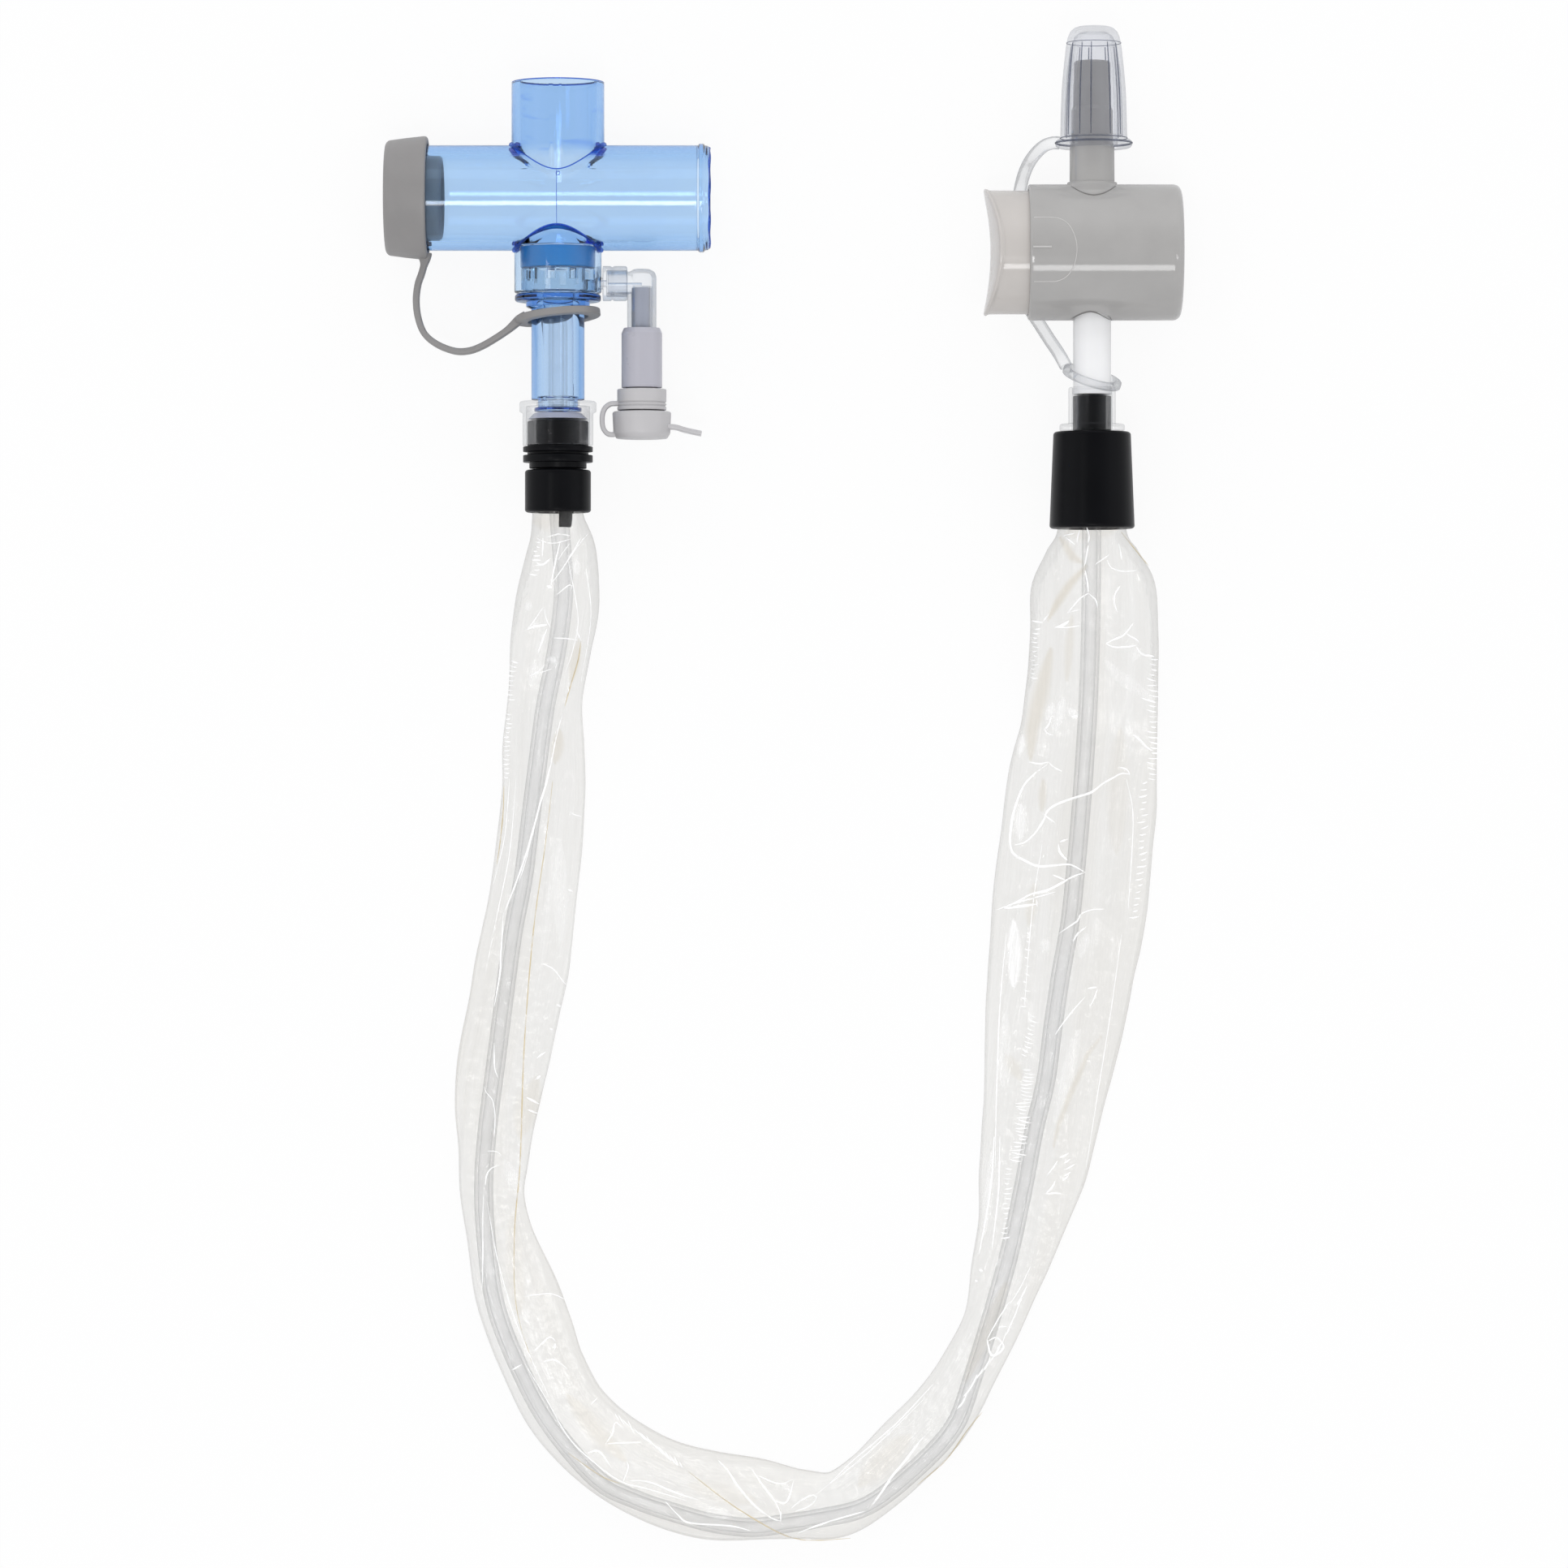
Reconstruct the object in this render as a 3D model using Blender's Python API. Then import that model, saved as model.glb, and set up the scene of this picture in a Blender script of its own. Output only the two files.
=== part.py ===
# Closed suction catheter, lying on a table: patient tee, film sleeve with the catheter in it, thumb valve.
# Metres, +Z up, +Y towards the two heads. The origin is on the table, below the middle of the whole set.

import math

import bmesh
import bpy
import numpy as np
from mathutils import Matrix, Vector

MM = 0.001

# Clearances and film
FIT_GAP = 0.3 * MM
RUNNING_GAP = 0.1 * MM
FILM_THICKNESS = 0.35 * MM

# Where the two heads lie
TEE_TUBE_Y = 122.6 * MM
NECK_X = -47.3 * MM
TEE_CAP_RADIUS = 12.9 * MM
TEE_Z = TEE_CAP_RADIUS
VALVE_X = 64.4 * MM
VALVE_Y = 111.1 * MM
VALVE_RADIUS = 14.2 * MM
BAY_WALL = 1.0 * MM
BUTTON_RADIUS = VALVE_RADIUS - BAY_WALL - FIT_GAP
CLEAR_STRAP_THICKNESS = 0.9 * MM
STRAP_GAP = 0.2 * MM
VALVE_Z = max(VALVE_RADIUS, BUTTON_RADIUS + CLEAR_STRAP_THICKNESS + 2 * STRAP_GAP)

# Patient tee
TEE_TUBE_RADIUS = 11.0 * MM
TEE_TUBE_BORE = 9.2 * MM
TEE_LEFT_X = -81.4 * MM
TEE_RIGHT_X = -15.5 * MM
TEE_END_CHAMFER = 0.5 * MM
TEE_BEAD_X = -17.3 * MM
TEE_BEAD_WIDTH = 1.0 * MM
TEE_BEAD_HEIGHT = 0.35 * MM
TOP_PORT_RADIUS = 9.7 * MM
TOP_PORT_BORE = 7.6 * MM
TOP_PORT_RIM_Y = 146.9 * MM
SOCKET_RADIUS = 9.1 * MM
SOCKET_BORE = 8.15 * MM
SOCKET_END_Y = 102.7 * MM
SOCKET_STEP_Y = 112.6 * MM
SOCKET_THROAT_BORE = 6.0 * MM

# Tee cap and its tether
CAP_FACE_X = -83.3 * MM
CAP_SKIRT_END_X = -74.5 * MM
CAP_PLUG_END_X = -71.4 * MM
STRAP_THICKNESS = 1.5 * MM
STRAP_WIDTH = 3.2 * MM
TEE_RING_RADIUS = 8.95 * MM
TEE_RING_BORE = 6.2 * MM
TEE_RING_Y = 97.6 * MM
TEE_RING_THICKNESS = 1.5 * MM
TEE_RING_TILT = math.radians(8.5)

# Seal and neck
SEAL_TOP_Y = 112.3 * MM
SEAL_END_Y = 107.9 * MM
SEAL_SLIT_RADIUS = 0.6 * MM
RETAINER_TOP_Y = 107.6 * MM
RETAINER_BORE = 5.4 * MM
RETAINER_SLOTS = 10
NECK_FLANGE_Y = 102.4 * MM
NECK_FLANGE_RADIUS = 9.0 * MM
NECK_STEP_Y = 100.9 * MM
NECK_STEP_RADIUS = 6.65 * MM
NECK_TUBE_Y = 99.8 * MM
NECK_RADIUS = 5.55 * MM
NECK_BORE = 3.2 * MM
NECK_END_Y = 80.35 * MM
NECK_SPIGOT_RADIUS = 4.2 * MM
NECK_SNAP_RADIUS = 4.95 * MM
NECK_SNAP_Y = 78.7 * MM
NECK_SNAP_END_Y = 77.9 * MM

# Flush branch
FLUSH_AXIS_Y = 104.7 * MM
FLUSH_LEG_X = -29.75 * MM
COUPLING_START_X = -37.9 * MM
COUPLING_END_X = -32.8 * MM
COUPLING_RADIUS = 3.65 * MM
COUPLING_RING_X = -35.9 * MM
COUPLING_SPIGOT_RADIUS = 1.2 * MM
COUPLING_SPIGOT_BORE = 0.7 * MM
ELBOW_ARM_RADIUS = 2.5 * MM
ELBOW_LEG_RADIUS = 3.05 * MM
ELBOW_TOP_Y = 107.7 * MM
ELBOW_END_Y = 91.5 * MM
ELBOW_BORE = 2.2 * MM
INNER_TUBE_TOP_Y = 103.8 * MM
INNER_TUBE_END_Y = 86.7 * MM
INNER_TUBE_BORE = 1.1 * MM
FLUSH_TUBE_TOP_Y = 95.4 * MM
FLUSH_TUBE_END_Y = 82.9 * MM
FLUSH_TUBE_RADIUS = 4.25 * MM
FLUSH_COLLAR_Y = 82.6 * MM
FLUSH_COLLAR_END_Y = 78.2 * MM
FLUSH_COLLAR_RADIUS = 5.15 * MM
FLUSH_SPIGOT_END_Y = 74.2 * MM
FLUSH_CAP_TOP_Y = 77.9 * MM
FLUSH_CAP_END_Y = 72.25 * MM
FLUSH_CAP_RADIUS = 6.15 * MM
FLUSH_TAB_END_X = -17.3 * MM
FLUSH_STRAP_THICKNESS = 1.0 * MM

# Swivel cup and front clamp
CUP_LIP_TOP_Y = 80.05 * MM
CUP_LIP_END_Y = 77.5 * MM
CUP_LIP_RADIUS = 8.05 * MM
CUP_RADIUS = 7.4 * MM
CUP_END_Y = 70.85 * MM
CONE_TOP_Y = 77.6 * MM
CONE_END_Y = 76.35 * MM
FRONT_PLUG_TOP_Y = 76.0 * MM
FRONT_PLUG_RADIUS = 6.4 * MM
FRONT_RIB_RADIUS = 7.3 * MM
FRONT_PLUG_END_Y = 57.6 * MM
FRONT_COLLAR_TOP_Y = 65.7 * MM
FRONT_COLLAR_END_Y = 56.8 * MM
FRONT_COLLAR_RADIUS = 6.9 * MM
FRONT_SLEEVE_RADIUS = 5.4 * MM

# Catheter and sleeve
CATHETER_RADIUS = 2.0 * MM
FLAT_HEIGHT = 2.9 * MM
CATHETER_BORE_IN_PLUGS = 2.4 * MM
CATHETER_RINGS = 62
SLEEVE_SIDES = 16
SLEEVE_RINGS = 60

# Rear clamp and valve neck
REAR_COLLAR_TOP_Y = 73.6 * MM
REAR_COLLAR_END_Y = 53.4 * MM
REAR_COLLAR_TOP_RADIUS = 8.1 * MM
REAR_COLLAR_END_RADIUS = 8.9 * MM
REAR_SLEEVE_RADIUS = 7.05 * MM
REAR_PLUG_TOP_Y = 81.1 * MM
REAR_PLUG_TOP_RADIUS = 4.0 * MM
REAR_PLUG_END_Y = 54.6 * MM
VALVE_NECK_TOP_Y = 100.7 * MM
VALVE_NECK_RADIUS = 3.95 * MM
VALVE_NECK_BORE = 2.6 * MM
VALVE_CUP_TOP_Y = 82.45 * MM
VALVE_CUP_RADIUS = 4.95 * MM
VALVE_SHOULDER_Y = 75.2 * MM
VALVE_SHOULDER_END_Y = 73.9 * MM
VALVE_SHOULDER_RADIUS = 6.8 * MM

# Valve
VALVE_LEFT_X = 51.0 * MM
VALVE_RIGHT_X = 83.0 * MM
VALVE_CORNER = 1.7 * MM
VALVE_WALL = 1.2 * MM
BUTTON_BAY_END_X = 59.0 * MM
CHAMBER_LEFT_X = 54.0 * MM
CHAMBER_END_X = 81.4 * MM
CHAMBER_RADIUS = 6.0 * MM
CHAMBER_BORE = 4.6 * MM
SUCTION_BORE = 2.4 * MM
NIPPLE_TOP_Y = 151.1 * MM
NIPPLE_STEPS = ((132.9, 4.67), (134.2, 4.34), (140.8, 4.3), (141.6, 4.0), (146.0, 3.95), (146.6, 3.85))
BUTTON_LIP_X = 42.35 * MM
BUTTON_LIP_RISE = 0.35 * MM
BUTTON_LIP_RADIUS = BUTTON_RADIUS + BUTTON_LIP_RISE
BUTTON_SKIRT_END_X = 53.6 * MM
BUTTON_WALL = 1.2 * MM
BUTTON_SIDE_RISE = 0.85 * MM
BUTTON_TOP_FALL = 2.35 * MM
SPOOL_LEFT_X = 45.6 * MM
SPOOL_STEM_RADIUS = 3.0 * MM
SPOOL_BODY_X = 50.3 * MM
SPOOL_RIGHT_X = 73.0 * MM
BUTTON_TRAVEL = 5.0 * MM
SPOOL_SEAL_XS = (55.3 * MM, 69.0 * MM)
SPOOL_SEAL_RADIUS = 0.55 * MM
SPRING_WIRE_RADIUS = 0.3 * MM
SPRING_TURNS = 4

# Suction cap and its tether
SUCTION_CAP_TOP_Y = 158.9 * MM
SUCTION_FLANGE_Y = 135.3 * MM
SUCTION_FLANGE_END_Y = 133.0 * MM
SUCTION_FLANGE_RADIUS = 8.0 * MM
SUCTION_CAP_PROFILE = ((135.3, 7.05), (140.8, 6.95), (149.2, 6.65), (154.2, 6.15), (157.6, 5.6), (158.5, 5.1))
SUCTION_CAP_FLUTES = 7
SUCTION_FLUTE_DEPTH = 0.35 * MM
CLEAR_STRAP_WIDTH = 2.3 * MM
SUCTION_RING_Y = 87.1 * MM
SUCTION_RING_RADIUS = 6.4 * MM
SUCTION_RING_BORE = 4.8 * MM
SUCTION_RING_THICKNESS = 1.3 * MM
SUCTION_RING_TILT = math.radians(-21.0)

# The catheter's route from its tip to the valve: x and y in millimetres, then its height as a share
# of the way up from lying flat to the clamp's axis
CATHETER_ROUTE = (
    (-47.3, 97.1, 1),
    (-47.3, 80.0, 1),
    (-47.3, 68.0, 1),
    (-47.1, 57.0, 1),
    (-46.2, 41.0, 0.74),
    (-47.7, 28.4, 0.45),
    (-50.2, 16.4, 0.2),
    (-51.9, 4.3, 0.05),
    (-53.5, -8.1, 0.005),
    (-55.0, -20.2, 0),
    (-57.3, -32.6, 0),
    (-60.3, -55.5, 0),
    (-62.6, -73.7, 0),
    (-63.3, -85.7, 0),
    (-62.6, -97.7, 0),
    (-60.8, -109.9, 0),
    (-56.3, -121.9, 0),
    (-49.6, -134.5, 0),
    (-39.4, -146.5, 0),
    (-31.2, -150.8, 0),
    (-23.0, -153.6, 0),
    (-14.9, -155.8, 0),
    (-6.7, -156.7, 0),
    (0.0, -155.9, 0),
    (7.6, -154.7, 0),
    (17.0, -152.4, 0),
    (25.9, -146.0, 0),
    (35.4, -136.1, 0),
    (39.7, -125.3, 0),
    (46.8, -101.5, 0),
    (50.5, -84.8, 0),
    (52.6, -73.5, 0),
    (55.2, -62.4, 0),
    (56.7, -51.1, 0),
    (58.4, -39.8, 0),
    (60.3, -29.0, 0),
    (61.5, -17.8, 0),
    (62.5, -6.5, 0.018),
    (63.3, 4.8, 0.097),
    (63.9, 16.0, 0.292),
    (64.2, 27.3, 0.566),
    (64.3, 38.6, 0.832),
    (64.3, 50.0, 0.982),
    (64.4, 62.0, 1),
    (64.4, 80.0, 1),
    (64.4, 96.5, 1),
)

# The sleeve's middle line from front to rear: x, y, half width and half height in millimetres, then
# its height as the same kind of share
SLEEVE_ROUTE = (
    (-47.3, 64.0, 5.4, 5.4, 1),
    (-47.3, 56.0, 5.4, 5.4, 1),
    (-46.6, 48.6, 7.3, 5.1, 0.9),
    (-47.5, 38.4, 8.8, 4.6, 0.67),
    (-49.2, 28.2, 8.5, 4.0, 0.41),
    (-50.4, 18.2, 7.9, 3.5, 0.2),
    (-50.8, 7.9, 8.6, 3.1, 0.06),
    (-50.8, -2.4, 8.8, 2.9, 0),
    (-51.8, -14.4, 9.1, 2.9, 0),
    (-53.1, -24.7, 9.3, 2.9, 0),
    (-55.0, -36.7, 9.9, 2.9, 0),
    (-57.0, -47.0, 9.7, 2.9, 0),
    (-59.0, -57.3, 9.7, 2.9, 0),
    (-60.7, -67.5, 8.9, 2.9, 0),
    (-61.2, -77.8, 7.5, 2.9, 0),
    (-61.6, -86.4, 6.8, 2.9, 0),
    (-60.0, -95.0, 7.0, 2.9, 0),
    (-57.2, -105.0, 8.6, 2.9, 0),
    (-53.6, -115.2, 9.0, 2.9, 0),
    (-50.2, -124.2, 8.6, 2.9, 0),
    (-45.0, -133.4, 8.6, 2.9, 0),
    (-36.2, -141.6, 8.9, 2.9, 0),
    (-26.6, -147.0, 9.2, 2.9, 0),
    (-16.4, -150.0, 9.4, 2.9, 0),
    (-6.2, -150.9, 8.7, 2.9, 0),
    (3.3, -152.0, 7.4, 2.9, 0),
    (11.2, -152.0, 7.0, 2.9, 0),
    (18.7, -147.4, 7.0, 2.9, 0),
    (26.4, -140.1, 7.3, 2.9, 0),
    (33.2, -132.9, 7.0, 2.9, 0),
    (38.8, -123.8, 6.2, 2.9, 0),
    (43.9, -113.8, 6.2, 2.9, 0),
    (47.0, -103.5, 7.7, 2.9, 0),
    (50.0, -93.3, 9.1, 2.9, 0),
    (52.2, -83.0, 11.2, 2.9, 0),
    (54.0, -72.7, 12.2, 2.9, 0),
    (55.4, -62.4, 13.3, 2.9, 0),
    (57.0, -50.4, 14.7, 2.9, 0),
    (58.7, -38.4, 15.5, 2.9, 0),
    (60.3, -24.7, 16.4, 2.9, 0),
    (61.9, -11.0, 16.2, 2.9, 0),
    (63.1, 1.0, 15.8, 3.1, 0.053),
    (64.4, 11.2, 14.5, 3.6, 0.204),
    (64.9, 21.6, 13.9, 4.2, 0.416),
    (65.0, 31.7, 13.4, 5.0, 0.655),
    (64.6, 41.8, 12.9, 6.0, 0.885),
    (64.4, 48.6, 9.6, 6.7, 0.982),
    (64.4, 54.0, 7.05, 7.05, 1),
    (64.4, 70.0, 7.05, 7.05, 1),
)

# The tee cap's tether from just below the cap to its ring, millimetres
TEE_STRAP_ROUTE = (
    (-76.0, 106.8),
    (-76.7, 104.4),
    (-76.95, 101.0),
    (-76.5, 97.4),
    (-75.2, 94.2),
    (-72.6, 92.0),
    (-69.0, 90.6),
    (-66.0, 90.9),
    (-63.2, 92.2),
    (-60.2, 94.2),
    (-57.4, 96.2),
    (-56.55, 96.65),
)

# The flush cap's tether from the collar round to the cap, millimetres
FLUSH_STRAP_ROUTE = (
    (-35.25, 79.6),
    (-36.3, 79.5),
    (-37.4, 78.7),
    (-37.95, 77.4),
    (-38.05, 76.0),
    (-37.9, 74.7),
    (-37.4, 73.75),
    (-36.8, 73.25),
    (-36.2, 73.1),
)

# The suction cap's tether from its flange, under the button, to its ring: x and y in millimetres, then
# its height as a share of the way up from lying on the table to the valve's axis
SUCTION_STRAP_ROUTE = (
    (56.0, 134.1, 1),
    (54.0, 133.2, 0.9558),
    (51.8, 130.9, 0.7349),
    (50.4, 128.0, 0.4404),
    (49.6, 124.2, 0.1458),
    (49.3, 120.0, 0.0096),
    (49.2, 112.0, 0),
    (49.3, 104.0, 0.0096),
    (50.2, 99.5, 0.1605),
    (52.4, 96.2, 0.4845),
    (54.7, 93.4, 0.7938),
    (56.6, 90.9, 0.9705),
    (58.0, 89.5, 1),
)

COLOURS = {
    "clear_blue": ((0.42, 0.62, 0.88, 1.0), 0.08),
    "teal": ((0.045, 0.27, 0.52, 1.0), 0.35),
    "cap_grey": ((0.26, 0.25, 0.25, 1.0), 0.5),
    "clear": ((0.80, 0.81, 0.82, 1.0), 0.08),
    "tube_grey": ((0.40, 0.42, 0.46, 1.0), 0.35),
    "lavender": ((0.50, 0.50, 0.57, 1.0), 0.3),
    "pale": ((0.60, 0.59, 0.60, 1.0), 0.4),
    "black": ((0.01, 0.01, 0.012, 1.0), 0.3),
    "valve_grey": ((0.40, 0.39, 0.38, 1.0), 0.3),
    "ivory": ((0.57, 0.53, 0.50, 1.0), 0.35),
    "film": ((0.85, 0.84, 0.82, 1.0), 0.1),
    "catheter": ((0.70, 0.72, 0.74, 1.0), 0.2),
    "steel": ((0.55, 0.55, 0.56, 1.0), 0.3),
}


def clear_scene():
    """Remove whatever the new file holds."""
    for item in list(bpy.data.objects):
        bpy.data.objects.remove(item, do_unlink=True)


def give_material(item, look):
    """Give an object its own plain material."""
    colour, roughness = COLOURS[look]
    material = bpy.data.materials.new(item.name + "_material")
    material.use_nodes = True
    shader = material.node_tree.nodes["Principled BSDF"]
    shader.inputs["Base Color"].default_value = colour
    shader.inputs["Roughness"].default_value = roughness
    shader.inputs["Metallic"].default_value = 1.0 if look == "steel" else 0.0
    item.data.materials.append(material)


def finish_object(name, mesh_builder, look, place=(0, 0, 0), turn=(0, 0, 0), smooth=True):
    """Turn a bmesh into a placed, shaded object."""
    bmesh.ops.recalc_face_normals(mesh_builder, faces=mesh_builder.faces)
    mesh = bpy.data.meshes.new(name)
    mesh_builder.to_mesh(mesh)
    mesh_builder.free()
    item = bpy.data.objects.new(name, mesh)
    bpy.context.scene.collection.objects.link(item)
    item.location = place
    item.rotation_euler = turn
    if look:
        give_material(item, look)
        if smooth:
            mesh.shade_smooth()
            mesh.set_sharp_from_angle(angle=math.radians(35))
    else:
        item.hide_render = True
        item.display_type = "WIRE"
    return item


def axis_frame(axis):
    """Return the turn that takes +Z onto the named axis."""
    if axis == "x":
        return Matrix(((0, 0, 1), (1, 0, 0), (0, 1, 0)))
    if axis == "y":
        return Matrix(((1, 0, 0), (0, 0, 1), (0, -1, 0)))
    return Matrix.Identity(3)


def lathe(name, profile, axis, centre, look, segments=40, reshape=None, phase=0.0):
    """Spin a closed profile of (position along the axis, radius) pairs into one solid."""
    frame = axis_frame(axis)
    along = {"x": 0, "y": 1, "z": 2}[axis]
    builder = bmesh.new()
    rings = []
    for position, radius in profile:
        height = position - centre[along]
        if radius < 1e-9:
            rings.append([builder.verts.new(frame @ Vector((0, 0, height)))])
            continue
        ring = []
        for step in range(segments):
            angle = 2 * math.pi * (step + phase) / segments
            local = Vector((radius * math.cos(angle), radius * math.sin(angle), height))
            if reshape:
                local = reshape(local, angle)
            ring.append(builder.verts.new(frame @ local))
        rings.append(ring)
    closed = len(rings[0]) > 1 and len(rings[-1]) > 1
    pairs = list(zip(rings, rings[1:]))
    if closed:
        pairs.append((rings[-1], rings[0]))
    for first, second in pairs:
        if len(first) == 1 and len(second) == 1:
            continue
        for step in range(segments):
            after = (step + 1) % segments
            if len(first) == 1:
                builder.faces.new((first[0], second[step], second[after]))
            elif len(second) == 1:
                builder.faces.new((first[step], first[after], second[0]))
            else:
                builder.faces.new((first[step], first[after], second[after], second[step]))
    return finish_object(name, builder, look, centre)


def tube(name, start, end, outer, inner, axis, centre, look, segments=40, chamfer=0.0):
    """Make a straight tube between two positions along an axis."""
    profile = [
        (start, inner),
        (start, outer - chamfer),
        (start + math.copysign(chamfer, end - start), outer),
        (end - math.copysign(chamfer, end - start), outer),
        (end, outer - chamfer),
        (end, inner),
    ]
    if not chamfer:
        profile = [(start, inner), (start, outer), (end, outer), (end, inner)]
    return lathe(name, profile, axis, centre, look, segments)


def rod(name, start, end, radius, axis, centre, look=None, segments=40, phase=0.0):
    """Make a plain solid cylinder; without a look it is a hidden guide."""
    profile = [(start, 0), (start, radius), (end, radius), (end, 0)]
    return lathe(name, profile, axis, centre, look, segments, None, phase)


def combine(item, guide, operation):
    """Join a guide to an object or cut it away."""
    step = item.modifiers.new(guide.name, "BOOLEAN")
    step.operation = operation
    step.solver = "EXACT"
    step.object = guide


def smooth_route(points, count):
    """Read a smooth curve through hand-set points at even steps along its length."""
    points = np.array(points, float)
    ahead = 2 * points[-1] - points[-2]
    behind = 2 * points[0] - points[1]
    padded = np.vstack([behind, points, ahead])
    dense = []
    for index in range(1, len(padded) - 2):
        p0, p1, p2, p3 = padded[index - 1:index + 3]
        for share in np.linspace(0, 1, 24, endpoint=False):
            dense.append(
                0.5 * (2 * p1 + (p2 - p0) * share + (2 * p0 - 5 * p1 + 4 * p2 - p3) * share ** 2
                       + (3 * p1 - p0 - 3 * p2 + p3) * share ** 3)
            )
    dense.append(points[-1])
    dense = np.array(dense)
    steps = np.linalg.norm(np.diff(dense[:, :3], axis=0), axis=1)
    travelled = np.concatenate([[0], np.cumsum(steps)])
    wanted = np.linspace(0, travelled[-1], count)
    return np.stack([np.interp(wanted, travelled, dense[:, k]) for k in range(points.shape[1])], axis=1)


def place_route(rows, low, column=2):
    """Scale a table of millimetres and turn its height column into heights above the table."""
    placed = np.array(rows, float)
    shares = placed[:, column].copy()
    placed *= MM
    head_heights = np.where(placed[:, 0] < 0, TEE_Z, VALVE_Z)
    placed[:, column] = low + shares * (head_heights - low)
    return placed


def sweep_band(name, route, width, thickness, look, width_axes):
    """Sweep a flat band along a route; width_axes gives the width direction at each point."""
    builder = bmesh.new()
    rings = []
    last = len(route) - 1
    for index, point in enumerate(route):
        forward = Vector(route[min(index + 1, last)]) - Vector(route[max(index - 1, 0)])
        forward.normalize()
        across = Vector(width_axes[index])
        across = (across - forward * across.dot(forward)).normalized()
        normal = forward.cross(across)
        ring = []
        for side, face in ((-1, -1), (1, -1), (1, 1), (-1, 1)):
            corner = Vector(point) + across * (side * width / 2) + normal * (face * thickness / 2)
            ring.append(builder.verts.new(corner))
        rings.append(ring)
    for first, second in zip(rings, rings[1:]):
        for step in range(4):
            after = (step + 1) % 4
            builder.faces.new((first[step], first[after], second[after], second[step]))
    builder.faces.new(rings[0])
    builder.faces.new(rings[-1])
    return finish_object(name, builder, look)


def sleeve_ring(row, forward, shrink):
    """Return one cross section of the sleeve: flat above and below, round at both sides."""
    x, y, half_width, half_height, z = row
    across = Vector((-forward[1], forward[0], 0)).normalized()
    round_part = half_height - shrink
    flat_part = max(half_width - half_height, 0)
    height = z
    ring = []
    half = SLEEVE_SIDES // 2
    for side in (1, -1):
        for step in range(half):
            angle = math.radians(-90 + 180 * (step + 0.5) / half)
            offset = side * (flat_part + round_part * math.cos(angle))
            rise = side * round_part * math.sin(angle)
            ring.append(Vector((x, y, 0)) + across * offset + Vector((0, 0, height + rise)))
    return ring


def make_sleeve():
    """Loft the film sleeve as a hollow, flattened tube, open at both clamped ends."""
    rows = smooth_route(place_route(SLEEVE_ROUTE, FLAT_HEIGHT, 4), SLEEVE_RINGS)
    floor_share = math.cos(math.radians(90 / (SLEEVE_SIDES // 2)))
    rows[:, 4] = np.maximum(rows[:, 4], rows[:, 3] * floor_share)
    forwards = np.gradient(rows[:, :2], axis=0)
    forwards[0] = forwards[-1] = (0, 0)
    forwards[0, 1] = -1
    forwards[-1, 1] = 1
    builder = bmesh.new()
    outer = [[builder.verts.new(p) for p in sleeve_ring(r, f, 0)] for r, f in zip(rows, forwards)]
    inner = [[builder.verts.new(p) for p in sleeve_ring(r, f, FILM_THICKNESS)] for r, f in zip(rows, forwards)]
    for skin in (outer, inner):
        for first, second in zip(skin, skin[1:]):
            for step in range(SLEEVE_SIDES):
                after = (step + 1) % SLEEVE_SIDES
                builder.faces.new((first[step], first[after], second[after], second[step]))
    for end in (0, -1):
        for step in range(SLEEVE_SIDES):
            after = (step + 1) % SLEEVE_SIDES
            builder.faces.new((outer[end][step], outer[end][after], inner[end][after], inner[end][step]))
    return finish_object("sleeve", builder, "film")


def make_catheter():
    """Lay the catheter as a round tube along its route."""
    points = smooth_route(place_route(CATHETER_ROUTE, FLAT_HEIGHT), CATHETER_RINGS)
    curve = bpy.data.curves.new("catheter_tube", "CURVE")
    curve.dimensions = "3D"
    curve.bevel_depth = CATHETER_RADIUS
    curve.bevel_resolution = 2
    curve.use_fill_caps = True
    spline = curve.splines.new("POLY")
    spline.points.add(len(points) - 1)
    for slot, point in zip(spline.points, points):
        slot.co = (*point, 1.0)
    item = bpy.data.objects.new("catheter_tube", curve)
    bpy.context.scene.collection.objects.link(item)
    give_material(item, "catheter")
    return item


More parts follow.
